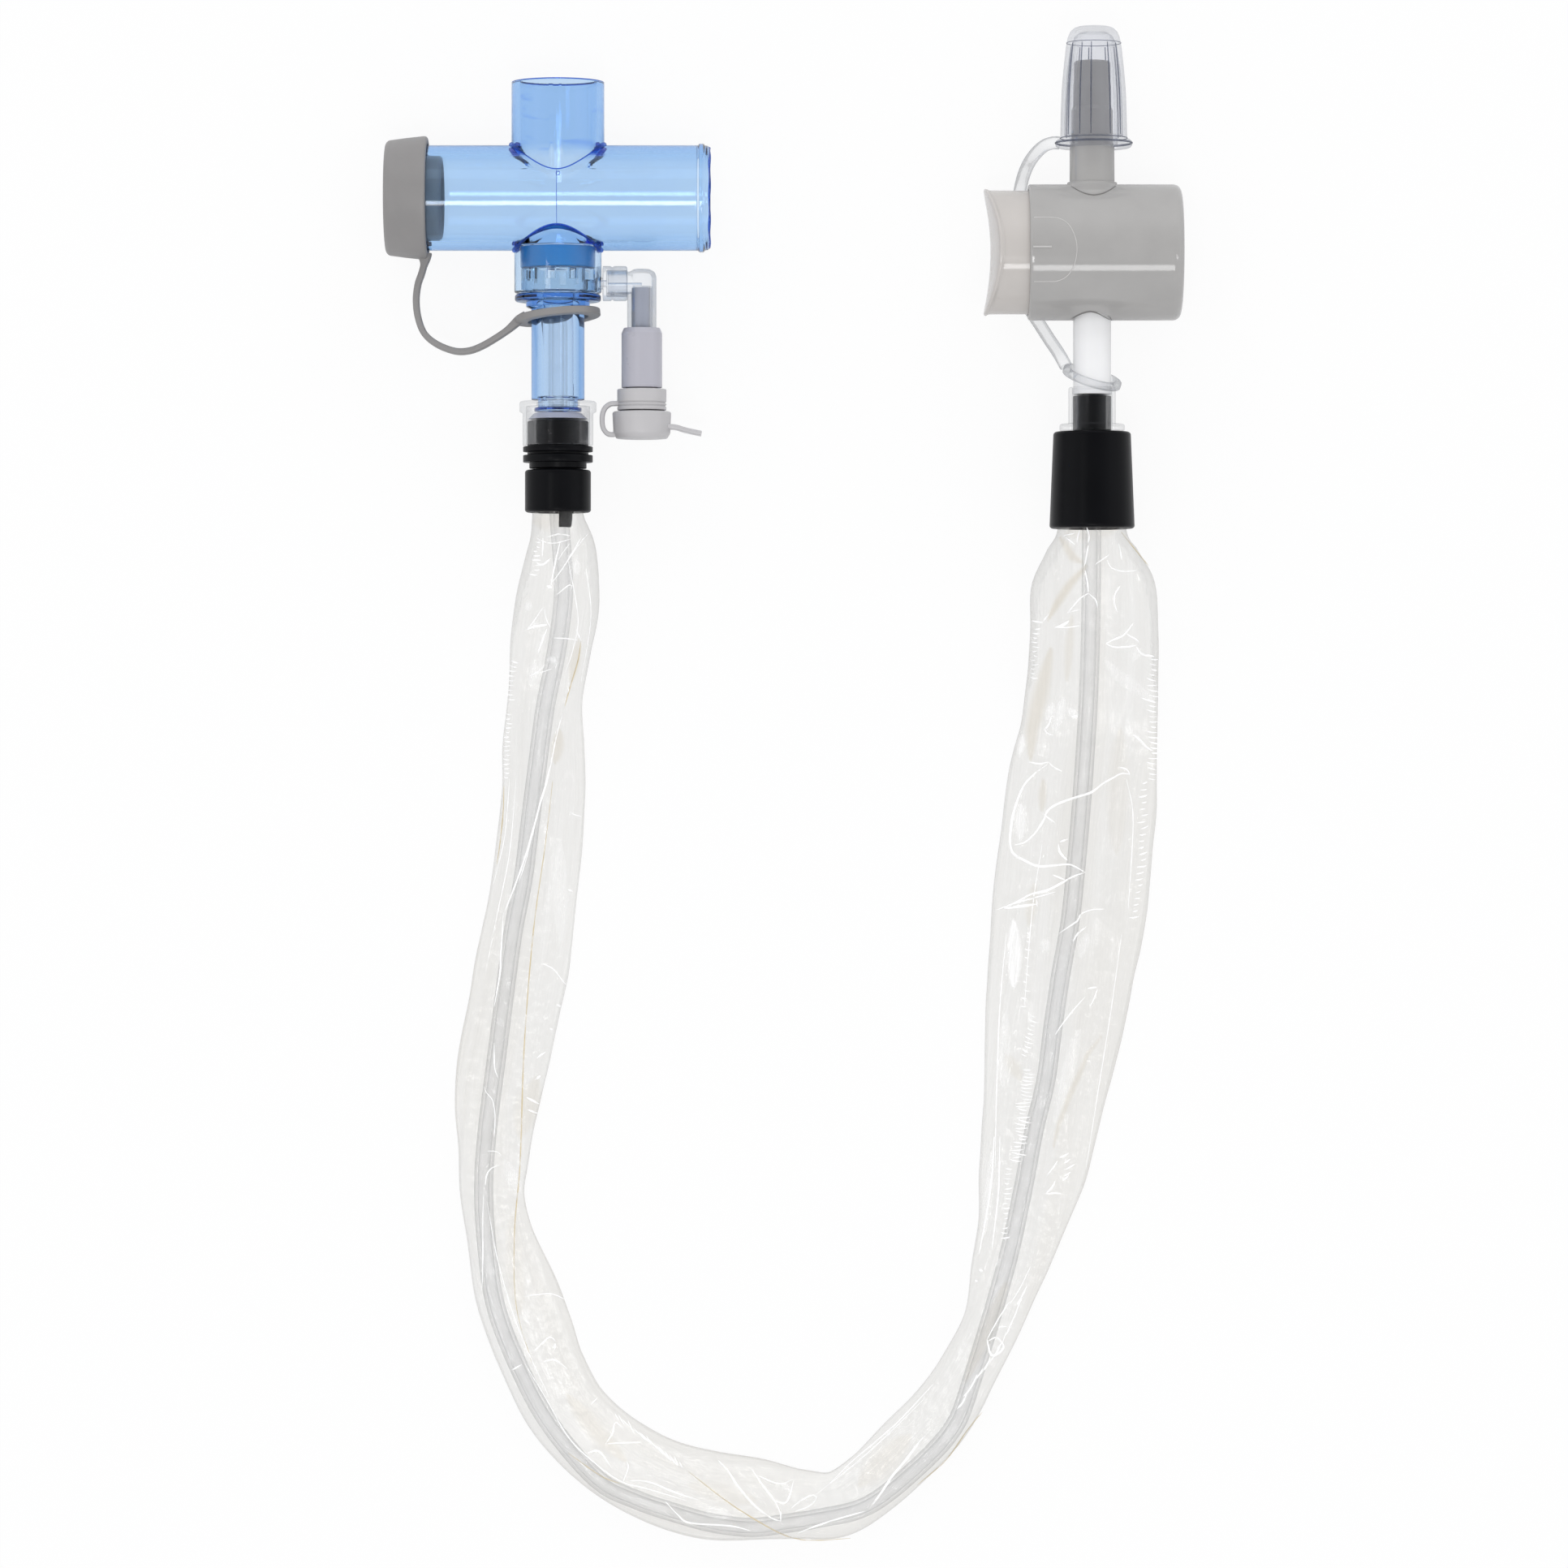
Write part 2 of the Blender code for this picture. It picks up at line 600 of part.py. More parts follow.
def make_tee():
    """Build the tee moulding: cross tube, top port and socket in one piece."""
    centre = (NECK_X, TEE_TUBE_Y, TEE_Z)
    bead_half = TEE_BEAD_WIDTH / 2
    tee_profile = [
        (TEE_LEFT_X, 0),
        (TEE_LEFT_X, TEE_TUBE_RADIUS),
        (TEE_BEAD_X - bead_half - TEE_BEAD_HEIGHT, TEE_TUBE_RADIUS),
        (TEE_BEAD_X - bead_half, TEE_TUBE_RADIUS + TEE_BEAD_HEIGHT),
        (TEE_BEAD_X + bead_half, TEE_TUBE_RADIUS + TEE_BEAD_HEIGHT),
        (TEE_BEAD_X + bead_half + TEE_BEAD_HEIGHT, TEE_TUBE_RADIUS),
        (TEE_RIGHT_X - TEE_END_CHAMFER, TEE_TUBE_RADIUS),
        (TEE_RIGHT_X, TEE_TUBE_RADIUS - TEE_END_CHAMFER),
        (TEE_RIGHT_X, 0),
    ]
    tee = lathe("tee_body", tee_profile, "x", centre, "clear_blue", 40)
    port = rod("tee_top_port_guide", TEE_TUBE_Y + MM, TOP_PORT_RIM_Y, TOP_PORT_RADIUS, "y", centre, segments=36)
    socket = rod("tee_socket_guide", SOCKET_END_Y, TEE_TUBE_Y - MM, SOCKET_RADIUS, "y", centre, segments=36)
    combine(tee, port, "UNION")
    combine(tee, socket, "UNION")
    beyond = 2 * MM
    cuts = (
        rod("tee_bore_guide", TEE_LEFT_X - beyond, TEE_RIGHT_X + beyond, TEE_TUBE_BORE, "x", centre, segments=40),
        rod("tee_port_bore_guide", TEE_TUBE_Y + 0.4 * MM, TOP_PORT_RIM_Y + beyond, TOP_PORT_BORE, "y", centre, segments=36),
        rod("tee_throat_guide", SOCKET_STEP_Y - MM, TEE_TUBE_Y - 0.4 * MM, SOCKET_THROAT_BORE, "y", centre, segments=28),
        rod("tee_socket_bore_guide", SOCKET_END_Y - beyond, SOCKET_STEP_Y, SOCKET_BORE, "y", centre, segments=36),
        rod("tee_flush_hole_guide", NECK_X + SOCKET_BORE - beyond, NECK_X + SOCKET_RADIUS + beyond,
            COUPLING_SPIGOT_RADIUS + FIT_GAP, "x", (NECK_X, FLUSH_AXIS_Y, TEE_Z), segments=16, phase=0.37),
    )
    for cut in cuts:
        combine(tee, cut, "DIFFERENCE")


def make_tee_cap():
    """Build the grey end cap, its tether and the tether's ring."""
    centre = (CAP_FACE_X, TEE_TUBE_Y, TEE_Z)
    skirt_inner = TEE_TUBE_RADIUS + FIT_GAP
    plug_outer = TEE_TUBE_BORE - FIT_GAP
    plug_inner = plug_outer - 1.3 * MM
    floor_x = TEE_LEFT_X - FIT_GAP
    profile = [
        (CAP_FACE_X, 0),
        (CAP_FACE_X, TEE_CAP_RADIUS - 2.4 * MM),
        (CAP_FACE_X + 0.35 * MM, TEE_CAP_RADIUS - 1.1 * MM),
        (CAP_FACE_X + 1.1 * MM, TEE_CAP_RADIUS - 0.35 * MM),
        (CAP_FACE_X + 2.2 * MM, TEE_CAP_RADIUS),
        (CAP_SKIRT_END_X - 0.4 * MM, TEE_CAP_RADIUS),
        (CAP_SKIRT_END_X, TEE_CAP_RADIUS - 0.4 * MM),
        (CAP_SKIRT_END_X, skirt_inner),
        (floor_x, skirt_inner),
        (floor_x, plug_outer),
        (CAP_PLUG_END_X - 0.5 * MM, plug_outer),
        (CAP_PLUG_END_X, plug_outer - 0.5 * MM),
        (CAP_PLUG_END_X, plug_inner),
        (floor_x, plug_inner),
        (floor_x, 0),
    ]
    lathe("tee_cap", profile, "x", centre, "cap_grey", 36)
    strap_start = (CAP_SKIRT_END_X - 0.7 * MM, TEE_TUBE_Y - TEE_CAP_RADIUS - 2 * STRAP_GAP, TEE_Z)
    route = smooth_route([strap_start] + [(x * MM, y * MM, TEE_Z) for x, y in TEE_STRAP_ROUTE], 30)
    sweep_band("tee_cap_strap", route, STRAP_WIDTH, STRAP_THICKNESS, "cap_grey", [(0, 0, 1)] * len(route))
    half = TEE_RING_THICKNESS / 2
    ring = tube("tee_cap_ring", TEE_RING_Y - half, TEE_RING_Y + half, TEE_RING_RADIUS, TEE_RING_BORE,
                "y", (NECK_X, TEE_RING_Y, TEE_Z), "cap_grey", 28, 0.3 * MM)
    ring.rotation_euler = (0, 0, TEE_RING_TILT)


def make_neck():
    """Build the seal, its retainer and the turning neck."""
    centre = (NECK_X, NECK_FLANGE_Y, TEE_Z)
    seal_radius = SOCKET_BORE - FIT_GAP
    seal_profile = [
        (SEAL_TOP_Y, SEAL_SLIT_RADIUS + 2.2 * MM),
        (SEAL_TOP_Y, seal_radius),
        (SEAL_END_Y, seal_radius),
        (SEAL_END_Y, 4.6 * MM),
        (SEAL_END_Y + 1.9 * MM, SEAL_SLIT_RADIUS + 0.6 * MM),
        (SEAL_END_Y + 1.9 * MM, SEAL_SLIT_RADIUS),
        (SEAL_END_Y + 2.9 * MM, SEAL_SLIT_RADIUS),
    ]
    lathe("wiper_seal", seal_profile, "y", centre, "teal", 28)
    retainer_end = SOCKET_END_Y
    retainer = tube("seal_retainer", retainer_end, RETAINER_TOP_Y, seal_radius, RETAINER_BORE,
                    "y", centre, "clear", 32)
    slots = bmesh.new()
    for index in range(RETAINER_SLOTS):
        angle = 2 * math.pi * (index + 0.25) / RETAINER_SLOTS
        spot = Matrix.Rotation(angle, 4, "Y") @ Matrix.Translation((seal_radius, 0, 0))
        bmesh.ops.create_cube(slots, size=1.0, matrix=spot @ Matrix.Diagonal((3.2 * MM, 2.6 * MM, 1.7 * MM, 1)))
    guide = finish_object("retainer_slot_guide", slots, None, (NECK_X, RETAINER_TOP_Y - 1.0 * MM, TEE_Z))
    combine(retainer, guide, "DIFFERENCE")
    hub_profile = [
        (NECK_FLANGE_Y, NECK_BORE),
        (NECK_FLANGE_Y, NECK_FLANGE_RADIUS - 0.3 * MM),
        (NECK_FLANGE_Y - 0.3 * MM, NECK_FLANGE_RADIUS),
        (NECK_STEP_Y + 0.3 * MM, NECK_FLANGE_RADIUS),
        (NECK_STEP_Y, NECK_FLANGE_RADIUS - 0.3 * MM),
        (NECK_STEP_Y, NECK_STEP_RADIUS),
        (NECK_TUBE_Y, NECK_STEP_RADIUS),
        (NECK_TUBE_Y - 0.5 * MM, NECK_RADIUS),
        (NECK_END_Y, NECK_RADIUS),
        (NECK_END_Y, NECK_SPIGOT_RADIUS),
        (NECK_SNAP_Y, NECK_SPIGOT_RADIUS),
        (NECK_SNAP_Y, NECK_SNAP_RADIUS),
        (NECK_SNAP_END_Y, NECK_SNAP_RADIUS),
        (NECK_SNAP_END_Y, CATHETER_BORE_IN_PLUGS),
        (NECK_SNAP_Y + 1.5 * MM, CATHETER_BORE_IN_PLUGS),
        (NECK_SNAP_Y + 2.3 * MM, NECK_BORE),
    ]
    lathe("neck_hub", hub_profile, "y", centre, "clear_blue", 28)


def make_flush_branch():
    """Build the flush branch from the socket's side to its capped end."""
    arm_centre = (NECK_X, FLUSH_AXIS_Y, TEE_Z)
    leg_centre = (FLUSH_LEG_X, FLUSH_AXIS_Y, TEE_Z)
    arm_bore = ELBOW_ARM_RADIUS + FIT_GAP
    coupling_profile = [
        (NECK_X + SOCKET_BORE + 0.1 * MM, COUPLING_SPIGOT_BORE),
        (NECK_X + SOCKET_BORE + 0.1 * MM, COUPLING_SPIGOT_RADIUS),
        (COUPLING_START_X, COUPLING_SPIGOT_RADIUS),
        (COUPLING_START_X, COUPLING_RADIUS),
        (COUPLING_RING_X - 0.3 * MM, COUPLING_RADIUS),
        (COUPLING_RING_X, COUPLING_RADIUS - 0.25 * MM),
        (COUPLING_RING_X + 0.3 * MM, COUPLING_RADIUS),
        (COUPLING_END_X - 0.3 * MM, COUPLING_RADIUS),
        (COUPLING_END_X, COUPLING_RADIUS - 0.3 * MM),
        (COUPLING_END_X, arm_bore),
        (COUPLING_START_X + 0.8 * MM, arm_bore),
        (COUPLING_START_X + 0.8 * MM, COUPLING_SPIGOT_BORE),
    ]
    lathe("flush_coupling", coupling_profile, "x", arm_centre, "clear", 20)
    leg_profile = [
        (ELBOW_END_Y, 0),
        (ELBOW_END_Y, ELBOW_LEG_RADIUS),
        (ELBOW_TOP_Y - 1.5 * MM, ELBOW_LEG_RADIUS),
        (ELBOW_TOP_Y - 0.6 * MM, ELBOW_LEG_RADIUS - 0.35 * MM),
        (ELBOW_TOP_Y, ELBOW_LEG_RADIUS - 1.4 * MM),
        (ELBOW_TOP_Y, 0),
    ]
    elbow = lathe("flush_elbow", leg_profile, "y", leg_centre, "clear", 20)
    arm_start = COUPLING_START_X + 0.8 * MM + FIT_GAP
    arm = rod("elbow_arm_guide", arm_start, FLUSH_LEG_X, ELBOW_ARM_RADIUS, "x", leg_centre, segments=18, phase=0.37)
    combine(elbow, arm, "UNION")
    beyond = 2 * MM
    leg_bore = rod("elbow_leg_bore_guide", ELBOW_END_Y - beyond, INNER_TUBE_TOP_Y + FIT_GAP, ELBOW_BORE,
                   "y", leg_centre, segments=18)
    arm_hole = rod("elbow_arm_bore_guide", arm_start - beyond, FLUSH_LEG_X, 1.2 * MM, "x",
                   (FLUSH_LEG_X, FLUSH_AXIS_Y - 1.0 * MM, TEE_Z), segments=12, phase=0.3)
    combine(elbow, leg_bore, "DIFFERENCE")
    combine(elbow, arm_hole, "DIFFERENCE")
    tube("flush_inner_tube", INNER_TUBE_TOP_Y, INNER_TUBE_END_Y, ELBOW_BORE - FIT_GAP, INNER_TUBE_BORE,
         "y", leg_centre, "tube_grey", 16)
    tube_profile = [
        (FLUSH_TUBE_TOP_Y, ELBOW_LEG_RADIUS + FIT_GAP),
        (FLUSH_TUBE_TOP_Y, FLUSH_TUBE_RADIUS - 0.5 * MM),
        (FLUSH_TUBE_TOP_Y - 1.1 * MM, FLUSH_TUBE_RADIUS),
        (FLUSH_TUBE_END_Y, FLUSH_TUBE_RADIUS),
        (FLUSH_TUBE_END_Y, ELBOW_LEG_RADIUS + FIT_GAP),
    ]
    lathe("flush_tube", tube_profile, "y", leg_centre, "lavender", 24)
    groove = 0.3 * MM
    collar_profile = [
        (INNER_TUBE_END_Y - FIT_GAP, 1.4 * MM),
        (INNER_TUBE_END_Y - FIT_GAP, ELBOW_LEG_RADIUS),
        (FLUSH_COLLAR_Y, ELBOW_LEG_RADIUS),
        (FLUSH_COLLAR_Y, FLUSH_COLLAR_RADIUS - 0.2 * MM),
        (FLUSH_COLLAR_Y - 0.2 * MM, FLUSH_COLLAR_RADIUS),
    ]
    for ring_y in (79.7 * MM, 79.05 * MM):
        collar_profile += [
            (ring_y + 0.2 * MM, FLUSH_COLLAR_RADIUS),
            (ring_y, FLUSH_COLLAR_RADIUS - groove),
            (ring_y - 0.2 * MM, FLUSH_COLLAR_RADIUS),
        ]
    collar_profile += [
        (FLUSH_COLLAR_END_Y, FLUSH_COLLAR_RADIUS),
        (FLUSH_COLLAR_END_Y, 2.6 * MM),
        (FLUSH_SPIGOT_END_Y, 2.1 * MM),
        (FLUSH_SPIGOT_END_Y, 1.4 * MM),
    ]
    lathe("flush_collar", collar_profile, "y", leg_centre, "pale", 24)
    make_flush_cap(leg_centre)


def make_flush_cap(leg_centre):
    """Build the flush cap with its pull tab, and the C-shaped tether beside it."""
    cap_profile = [
        (FLUSH_CAP_TOP_Y, 4.7 * MM),
        (FLUSH_CAP_TOP_Y, FLUSH_CAP_RADIUS - 0.3 * MM),
        (FLUSH_CAP_TOP_Y - 0.3 * MM, FLUSH_CAP_RADIUS),
        (FLUSH_CAP_END_Y + 0.7 * MM, FLUSH_CAP_RADIUS - 0.2 * MM),
        (FLUSH_CAP_END_Y, FLUSH_CAP_RADIUS - 0.9 * MM),
        (FLUSH_CAP_END_Y, 0),
        (FLUSH_CAP_END_Y + 1.2 * MM, 0),
        (FLUSH_CAP_END_Y + 1.2 * MM, 4.5 * MM),
    ]
    cap = lathe("flush_cap", cap_profile, "y", leg_centre, "pale", 28)
    start_x = FLUSH_LEG_X + FLUSH_CAP_RADIUS - 0.6 * MM
    bend = [
        (start_x, 74.75 * MM, TEE_Z),
        (start_x + 1.6 * MM, 74.6 * MM, TEE_Z),
        (start_x + 3.4 * MM, 74.0 * MM, TEE_Z),
        (FLUSH_TAB_END_X, 73.3 * MM, TEE_Z),
    ]
    tab = sweep_band("flush_tab_guide", bend, 5.0 * MM, 1.0 * MM, None, [(0, 0, 1)] * len(bend))
    combine(cap, tab, "UNION")
    route = smooth_route([(x * MM, y * MM, TEE_Z) for x, y in FLUSH_STRAP_ROUTE], 16)
    sweep_band("flush_cap_strap", route, 2.6 * MM, FLUSH_STRAP_THICKNESS, "pale", [(0, 0, 1)] * len(route))


def make_swivel_and_front_clamp():
    """Build the clear cup, the cone seal, the black insert and the clamp collar."""
    centre = (NECK_X, CUP_LIP_TOP_Y, TEE_Z)
    cup_bore = FRONT_PLUG_RADIUS + FIT_GAP
    cup_profile = [
        (CUP_LIP_TOP_Y, NECK_SPIGOT_RADIUS + FIT_GAP),
        (CUP_LIP_TOP_Y, CUP_LIP_RADIUS - 0.3 * MM),
        (CUP_LIP_TOP_Y - 0.3 * MM, CUP_LIP_RADIUS),
        (CUP_LIP_END_Y + 0.4 * MM, CUP_LIP_RADIUS),
        (CUP_LIP_END_Y, CUP_RADIUS),
        (CUP_END_Y, CUP_RADIUS),
        (CUP_END_Y, cup_bore),
        (NECK_SNAP_Y + FIT_GAP, cup_bore),
        (NECK_SNAP_Y + FIT_GAP, NECK_SPIGOT_RADIUS + FIT_GAP),
    ]
    lathe("swivel_cup", cup_profile, "y", centre, "clear", 32)
    cone_profile = [
        (CONE_TOP_Y, CATHETER_BORE_IN_PLUGS),
        (CONE_TOP_Y, 4.9 * MM),
        (CONE_END_Y, 6.2 * MM),
        (CONE_END_Y, CATHETER_BORE_IN_PLUGS),
    ]
    lathe("cone_seal", cone_profile, "y", centre, "tube_grey", 24)
    plug_profile = [
        (FRONT_PLUG_TOP_Y, CATHETER_BORE_IN_PLUGS),
        (FRONT_PLUG_TOP_Y, FRONT_PLUG_RADIUS - 0.3 * MM),
        (FRONT_PLUG_TOP_Y - 0.3 * MM, FRONT_PLUG_RADIUS),
        (CUP_END_Y - FIT_GAP, FRONT_PLUG_RADIUS),
        (CUP_END_Y - FIT_GAP, FRONT_RIB_RADIUS),
        (69.5 * MM, FRONT_RIB_RADIUS),
        (69.4 * MM, FRONT_PLUG_RADIUS),
        (68.85 * MM, FRONT_PLUG_RADIUS),
        (68.75 * MM, FRONT_RIB_RADIUS),
        (67.3 * MM, FRONT_RIB_RADIUS),
        (67.2 * MM, 6.0 * MM),
        (FRONT_COLLAR_TOP_Y + FIT_GAP, 6.0 * MM),
        (FRONT_COLLAR_TOP_Y + FIT_GAP, FRONT_SLEEVE_RADIUS - FILM_THICKNESS - FIT_GAP),
        (FRONT_PLUG_END_Y, FRONT_SLEEVE_RADIUS - FILM_THICKNESS - FIT_GAP),
        (FRONT_PLUG_END_Y, CATHETER_BORE_IN_PLUGS),
    ]
    lathe("front_sleeve_plug", plug_profile, "y", centre, "black", 28)
    tube("front_clamp_collar", FRONT_COLLAR_TOP_Y, FRONT_COLLAR_END_Y, FRONT_COLLAR_RADIUS,
         FRONT_SLEEVE_RADIUS + FIT_GAP, "y", centre, "black", 28, 0.35 * MM)


def make_rear_clamp_and_neck():
    """Build the tapered collar, its insert and the valve's clear neck."""
    centre = (VALVE_X, VALVE_CUP_TOP_Y, VALVE_Z)
    plug_radius = REAR_SLEEVE_RADIUS - FILM_THICKNESS - FIT_GAP
    collar_bore = REAR_SLEEVE_RADIUS + FIT_GAP
    top_hole = REAR_PLUG_TOP_RADIUS + FIT_GAP
    collar_profile = [
        (REAR_COLLAR_TOP_Y, top_hole),
        (REAR_COLLAR_TOP_Y, REAR_COLLAR_TOP_RADIUS - 0.4 * MM),
        (REAR_COLLAR_TOP_Y - 0.4 * MM, REAR_COLLAR_TOP_RADIUS),
        (REAR_COLLAR_END_Y + 0.4 * MM, REAR_COLLAR_END_RADIUS),
        (REAR_COLLAR_END_Y, REAR_COLLAR_END_RADIUS - 0.4 * MM),
        (REAR_COLLAR_END_Y, collar_bore),
        (REAR_COLLAR_TOP_Y - 1.4 * MM, collar_bore),
        (REAR_COLLAR_TOP_Y - 1.4 * MM, top_hole),
    ]
    lathe("rear_clamp_collar", collar_profile, "y", centre, "black", 32)
    plug_profile = [
        (REAR_PLUG_TOP_Y, CATHETER_BORE_IN_PLUGS),
        (REAR_PLUG_TOP_Y, REAR_PLUG_TOP_RADIUS),
        (REAR_COLLAR_TOP_Y - 1.7 * MM, REAR_PLUG_TOP_RADIUS),
        (REAR_COLLAR_TOP_Y - 1.7 * MM, plug_radius - 0.5 * MM),
        (REAR_COLLAR_TOP_Y - 2.4 * MM, plug_radius),
        (REAR_PLUG_END_Y, plug_radius),
        (REAR_PLUG_END_Y, CATHETER_BORE_IN_PLUGS),
    ]
    lathe("rear_sleeve_plug", plug_profile, "y", centre, "black", 28)
    cup_bore = REAR_PLUG_TOP_RADIUS + FIT_GAP
    neck_profile = [
        (VALVE_NECK_TOP_Y, VALVE_NECK_BORE),
        (VALVE_NECK_TOP_Y, VALVE_NECK_RADIUS),
        (VALVE_CUP_TOP_Y, VALVE_NECK_RADIUS),
        (VALVE_CUP_TOP_Y, VALVE_CUP_RADIUS - 0.2 * MM),
        (VALVE_CUP_TOP_Y - 0.2 * MM, VALVE_CUP_RADIUS),
        (VALVE_SHOULDER_Y, VALVE_CUP_RADIUS),
        (VALVE_SHOULDER_Y, VALVE_SHOULDER_RADIUS - 0.2 * MM),
        (VALVE_SHOULDER_Y - 0.2 * MM, VALVE_SHOULDER_RADIUS),
        (VALVE_SHOULDER_END_Y, VALVE_SHOULDER_RADIUS),
        (VALVE_SHOULDER_END_Y, cup_bore),
        (REAR_PLUG_TOP_Y + FIT_GAP, cup_bore),
        (REAR_PLUG_TOP_Y + FIT_GAP, VALVE_NECK_BORE),
    ]
    lathe("valve_neck", neck_profile, "y", centre, "clear", 24)


def make_valve_body():
    """Build the valve housing with its inner chamber and nipple as one moulding."""
    centre = (VALVE_X, VALVE_Y, VALVE_Z)
    bay_bore = BUTTON_RADIUS + FIT_GAP
    shell_bore = VALVE_RADIUS - VALVE_WALL
    profile = [
        (VALVE_LEFT_X, bay_bore),
        (VALVE_LEFT_X, VALVE_RADIUS - 0.3 * MM),
        (VALVE_LEFT_X + 0.3 * MM, VALVE_RADIUS),
        (VALVE_RIGHT_X - VALVE_CORNER, VALVE_RADIUS),
    ]
    for step in range(1, 5):
        angle = math.radians(90 * step / 4)
        profile.append((VALVE_RIGHT_X - VALVE_CORNER * (1 - math.sin(angle)),
                        VALVE_RADIUS - VALVE_CORNER * (1 - math.cos(angle))))
    profile += [
        (VALVE_RIGHT_X, 0),
        (CHAMBER_LEFT_X, 0),
        (CHAMBER_LEFT_X, CHAMBER_RADIUS),
        (CHAMBER_END_X, CHAMBER_RADIUS),
        (CHAMBER_END_X, shell_bore),
        (BUTTON_BAY_END_X, shell_bore),
        (BUTTON_BAY_END_X, bay_bore),
    ]
    body = lathe("valve_body", profile, "x", centre, "valve_grey", 44)
    passage_start = VALVE_Y - VALVE_RADIUS + 1.1 * MM
    passage_radius = 5.2 * MM
    passage_profile = [(passage_start, 0), (passage_start, passage_radius), (VALVE_Y, passage_radius)]
    passage_profile.append((VALVE_Y, NIPPLE_STEPS[0][1] * MM))
    passage_profile += [(y * MM, radius * MM) for y, radius in NIPPLE_STEPS]
    passage_profile += [(NIPPLE_TOP_Y - 0.4 * MM, 3.85 * MM), (NIPPLE_TOP_Y, 3.5 * MM), (NIPPLE_TOP_Y, 0)]
    passage = lathe("valve_passage_guide", passage_profile, "y", centre, None, 28)
    combine(body, passage, "UNION")
    beyond = 2 * MM
    cuts = (
        rod("valve_chamber_guide", CHAMBER_LEFT_X - beyond, CHAMBER_END_X, CHAMBER_BORE, "x", centre, segments=28),
        rod("valve_suction_guide", VALVE_Y - VALVE_RADIUS - beyond, NIPPLE_TOP_Y + beyond, SUCTION_BORE,
            "y", centre, segments=20),
        rod("valve_socket_guide", VALVE_Y - VALVE_RADIUS - beyond, VALVE_NECK_TOP_Y + FIT_GAP,
            VALVE_NECK_RADIUS + FIT_GAP, "y", centre, segments=24),
    )
    for cut in cuts:
        combine(body, cut, "DIFFERENCE")


def make_button_and_spool():
    """Build the thumb button, the spool it pushes, the spool's seals and the return spring."""
    centre = (VALVE_X - 14 * MM, VALVE_Y, VALVE_Z)
    inner = BUTTON_RADIUS - BUTTON_WALL
    hub_bore = SPOOL_STEM_RADIUS + RUNNING_GAP
    back_x = BUTTON_LIP_X + 2.6 * MM
    hub_end_x = CHAMBER_LEFT_X - BUTTON_TRAVEL - FIT_GAP

    def saddle(local, angle):
        """Hollow the thumb face across the button and let it fall away above and below."""
        if local.z > back_x - centre[0] + 0.01 * MM:
            return local
        side = local.x / BUTTON_RADIUS
        height = local.y / BUTTON_RADIUS
        move = BUTTON_TOP_FALL * height ** 2 - BUTTON_SIDE_RISE * side ** 2
        return Vector((local.x, local.y, local.z + move))

    profile = [
        (BUTTON_LIP_X, 0),
        (BUTTON_LIP_X, BUTTON_RADIUS * 0.25),
        (BUTTON_LIP_X, BUTTON_RADIUS * 0.5),
        (BUTTON_LIP_X, BUTTON_RADIUS * 0.75),
        (BUTTON_LIP_X, BUTTON_RADIUS - 0.6 * MM),
        (BUTTON_LIP_X + 0.1 * MM, BUTTON_LIP_RADIUS - 0.25 * MM),
        (BUTTON_LIP_X + 0.4 * MM, BUTTON_LIP_RADIUS),
        (BUTTON_LIP_X + 0.9 * MM, BUTTON_LIP_RADIUS),
        (BUTTON_LIP_X + 1.3 * MM, BUTTON_RADIUS),
        (BUTTON_SKIRT_END_X, BUTTON_RADIUS),
        (BUTTON_SKIRT_END_X, inner),
        (back_x + 3.2 * MM, inner),
        (back_x + 3.2 * MM, hub_bore + 1.8 * MM),
        (hub_end_x, hub_bore + 1.8 * MM),
        (hub_end_x, hub_bore),
        (SPOOL_LEFT_X - FIT_GAP, hub_bore),
        (SPOOL_LEFT_X - FIT_GAP, 0),
    ]
    lathe("thumb_button", profile, "x", centre, "ivory", 40, saddle)
    spool_profile = [
        (SPOOL_LEFT_X, 0),
        (SPOOL_LEFT_X, SPOOL_STEM_RADIUS),
        (SPOOL_BODY_X, SPOOL_STEM_RADIUS),
        (SPOOL_BODY_X, CHAMBER_BORE - FIT_GAP),
    ]
    groove_radius = CHAMBER_BORE - RUNNING_GAP - 2 * SPOOL_SEAL_RADIUS - FIT_GAP
    groove_half = SPOOL_SEAL_RADIUS + FIT_GAP
    for seal_x in SPOOL_SEAL_XS:
        spool_profile += [
            (seal_x - groove_half, CHAMBER_BORE - FIT_GAP),
            (seal_x - groove_half, groove_radius),
            (seal_x + groove_half, groove_radius),
            (seal_x + groove_half, CHAMBER_BORE - FIT_GAP),
        ]
    spool_profile += [(SPOOL_RIGHT_X, CHAMBER_BORE - FIT_GAP), (SPOOL_RIGHT_X, 0)]
    spool = lathe("valve_spool", spool_profile, "x", centre, "pale", 20)
    hole_centre = (VALVE_X - BUTTON_TRAVEL, VALVE_Y, VALVE_Z)
    hole = rod("spool_hole_guide", VALVE_Y - 8 * MM, VALVE_Y + 8 * MM, SUCTION_BORE - 0.2 * MM, "y",
               hole_centre, segments=14)
    combine(spool, hole, "DIFFERENCE")
    for name, seal_x in zip(("spool_seal_outer", "spool_seal_inner"), SPOOL_SEAL_XS):
        middle = CHAMBER_BORE - RUNNING_GAP - 0.05 * MM - SPOOL_SEAL_RADIUS
        ring_profile = []
        for step in range(6):
            angle = 2 * math.pi * step / 6
            ring_profile.append((seal_x + SPOOL_SEAL_RADIUS * math.cos(angle),
                                 middle + SPOOL_SEAL_RADIUS * math.sin(angle)))
        lathe(name, ring_profile, "x", centre, "black", 18)
    make_spring()


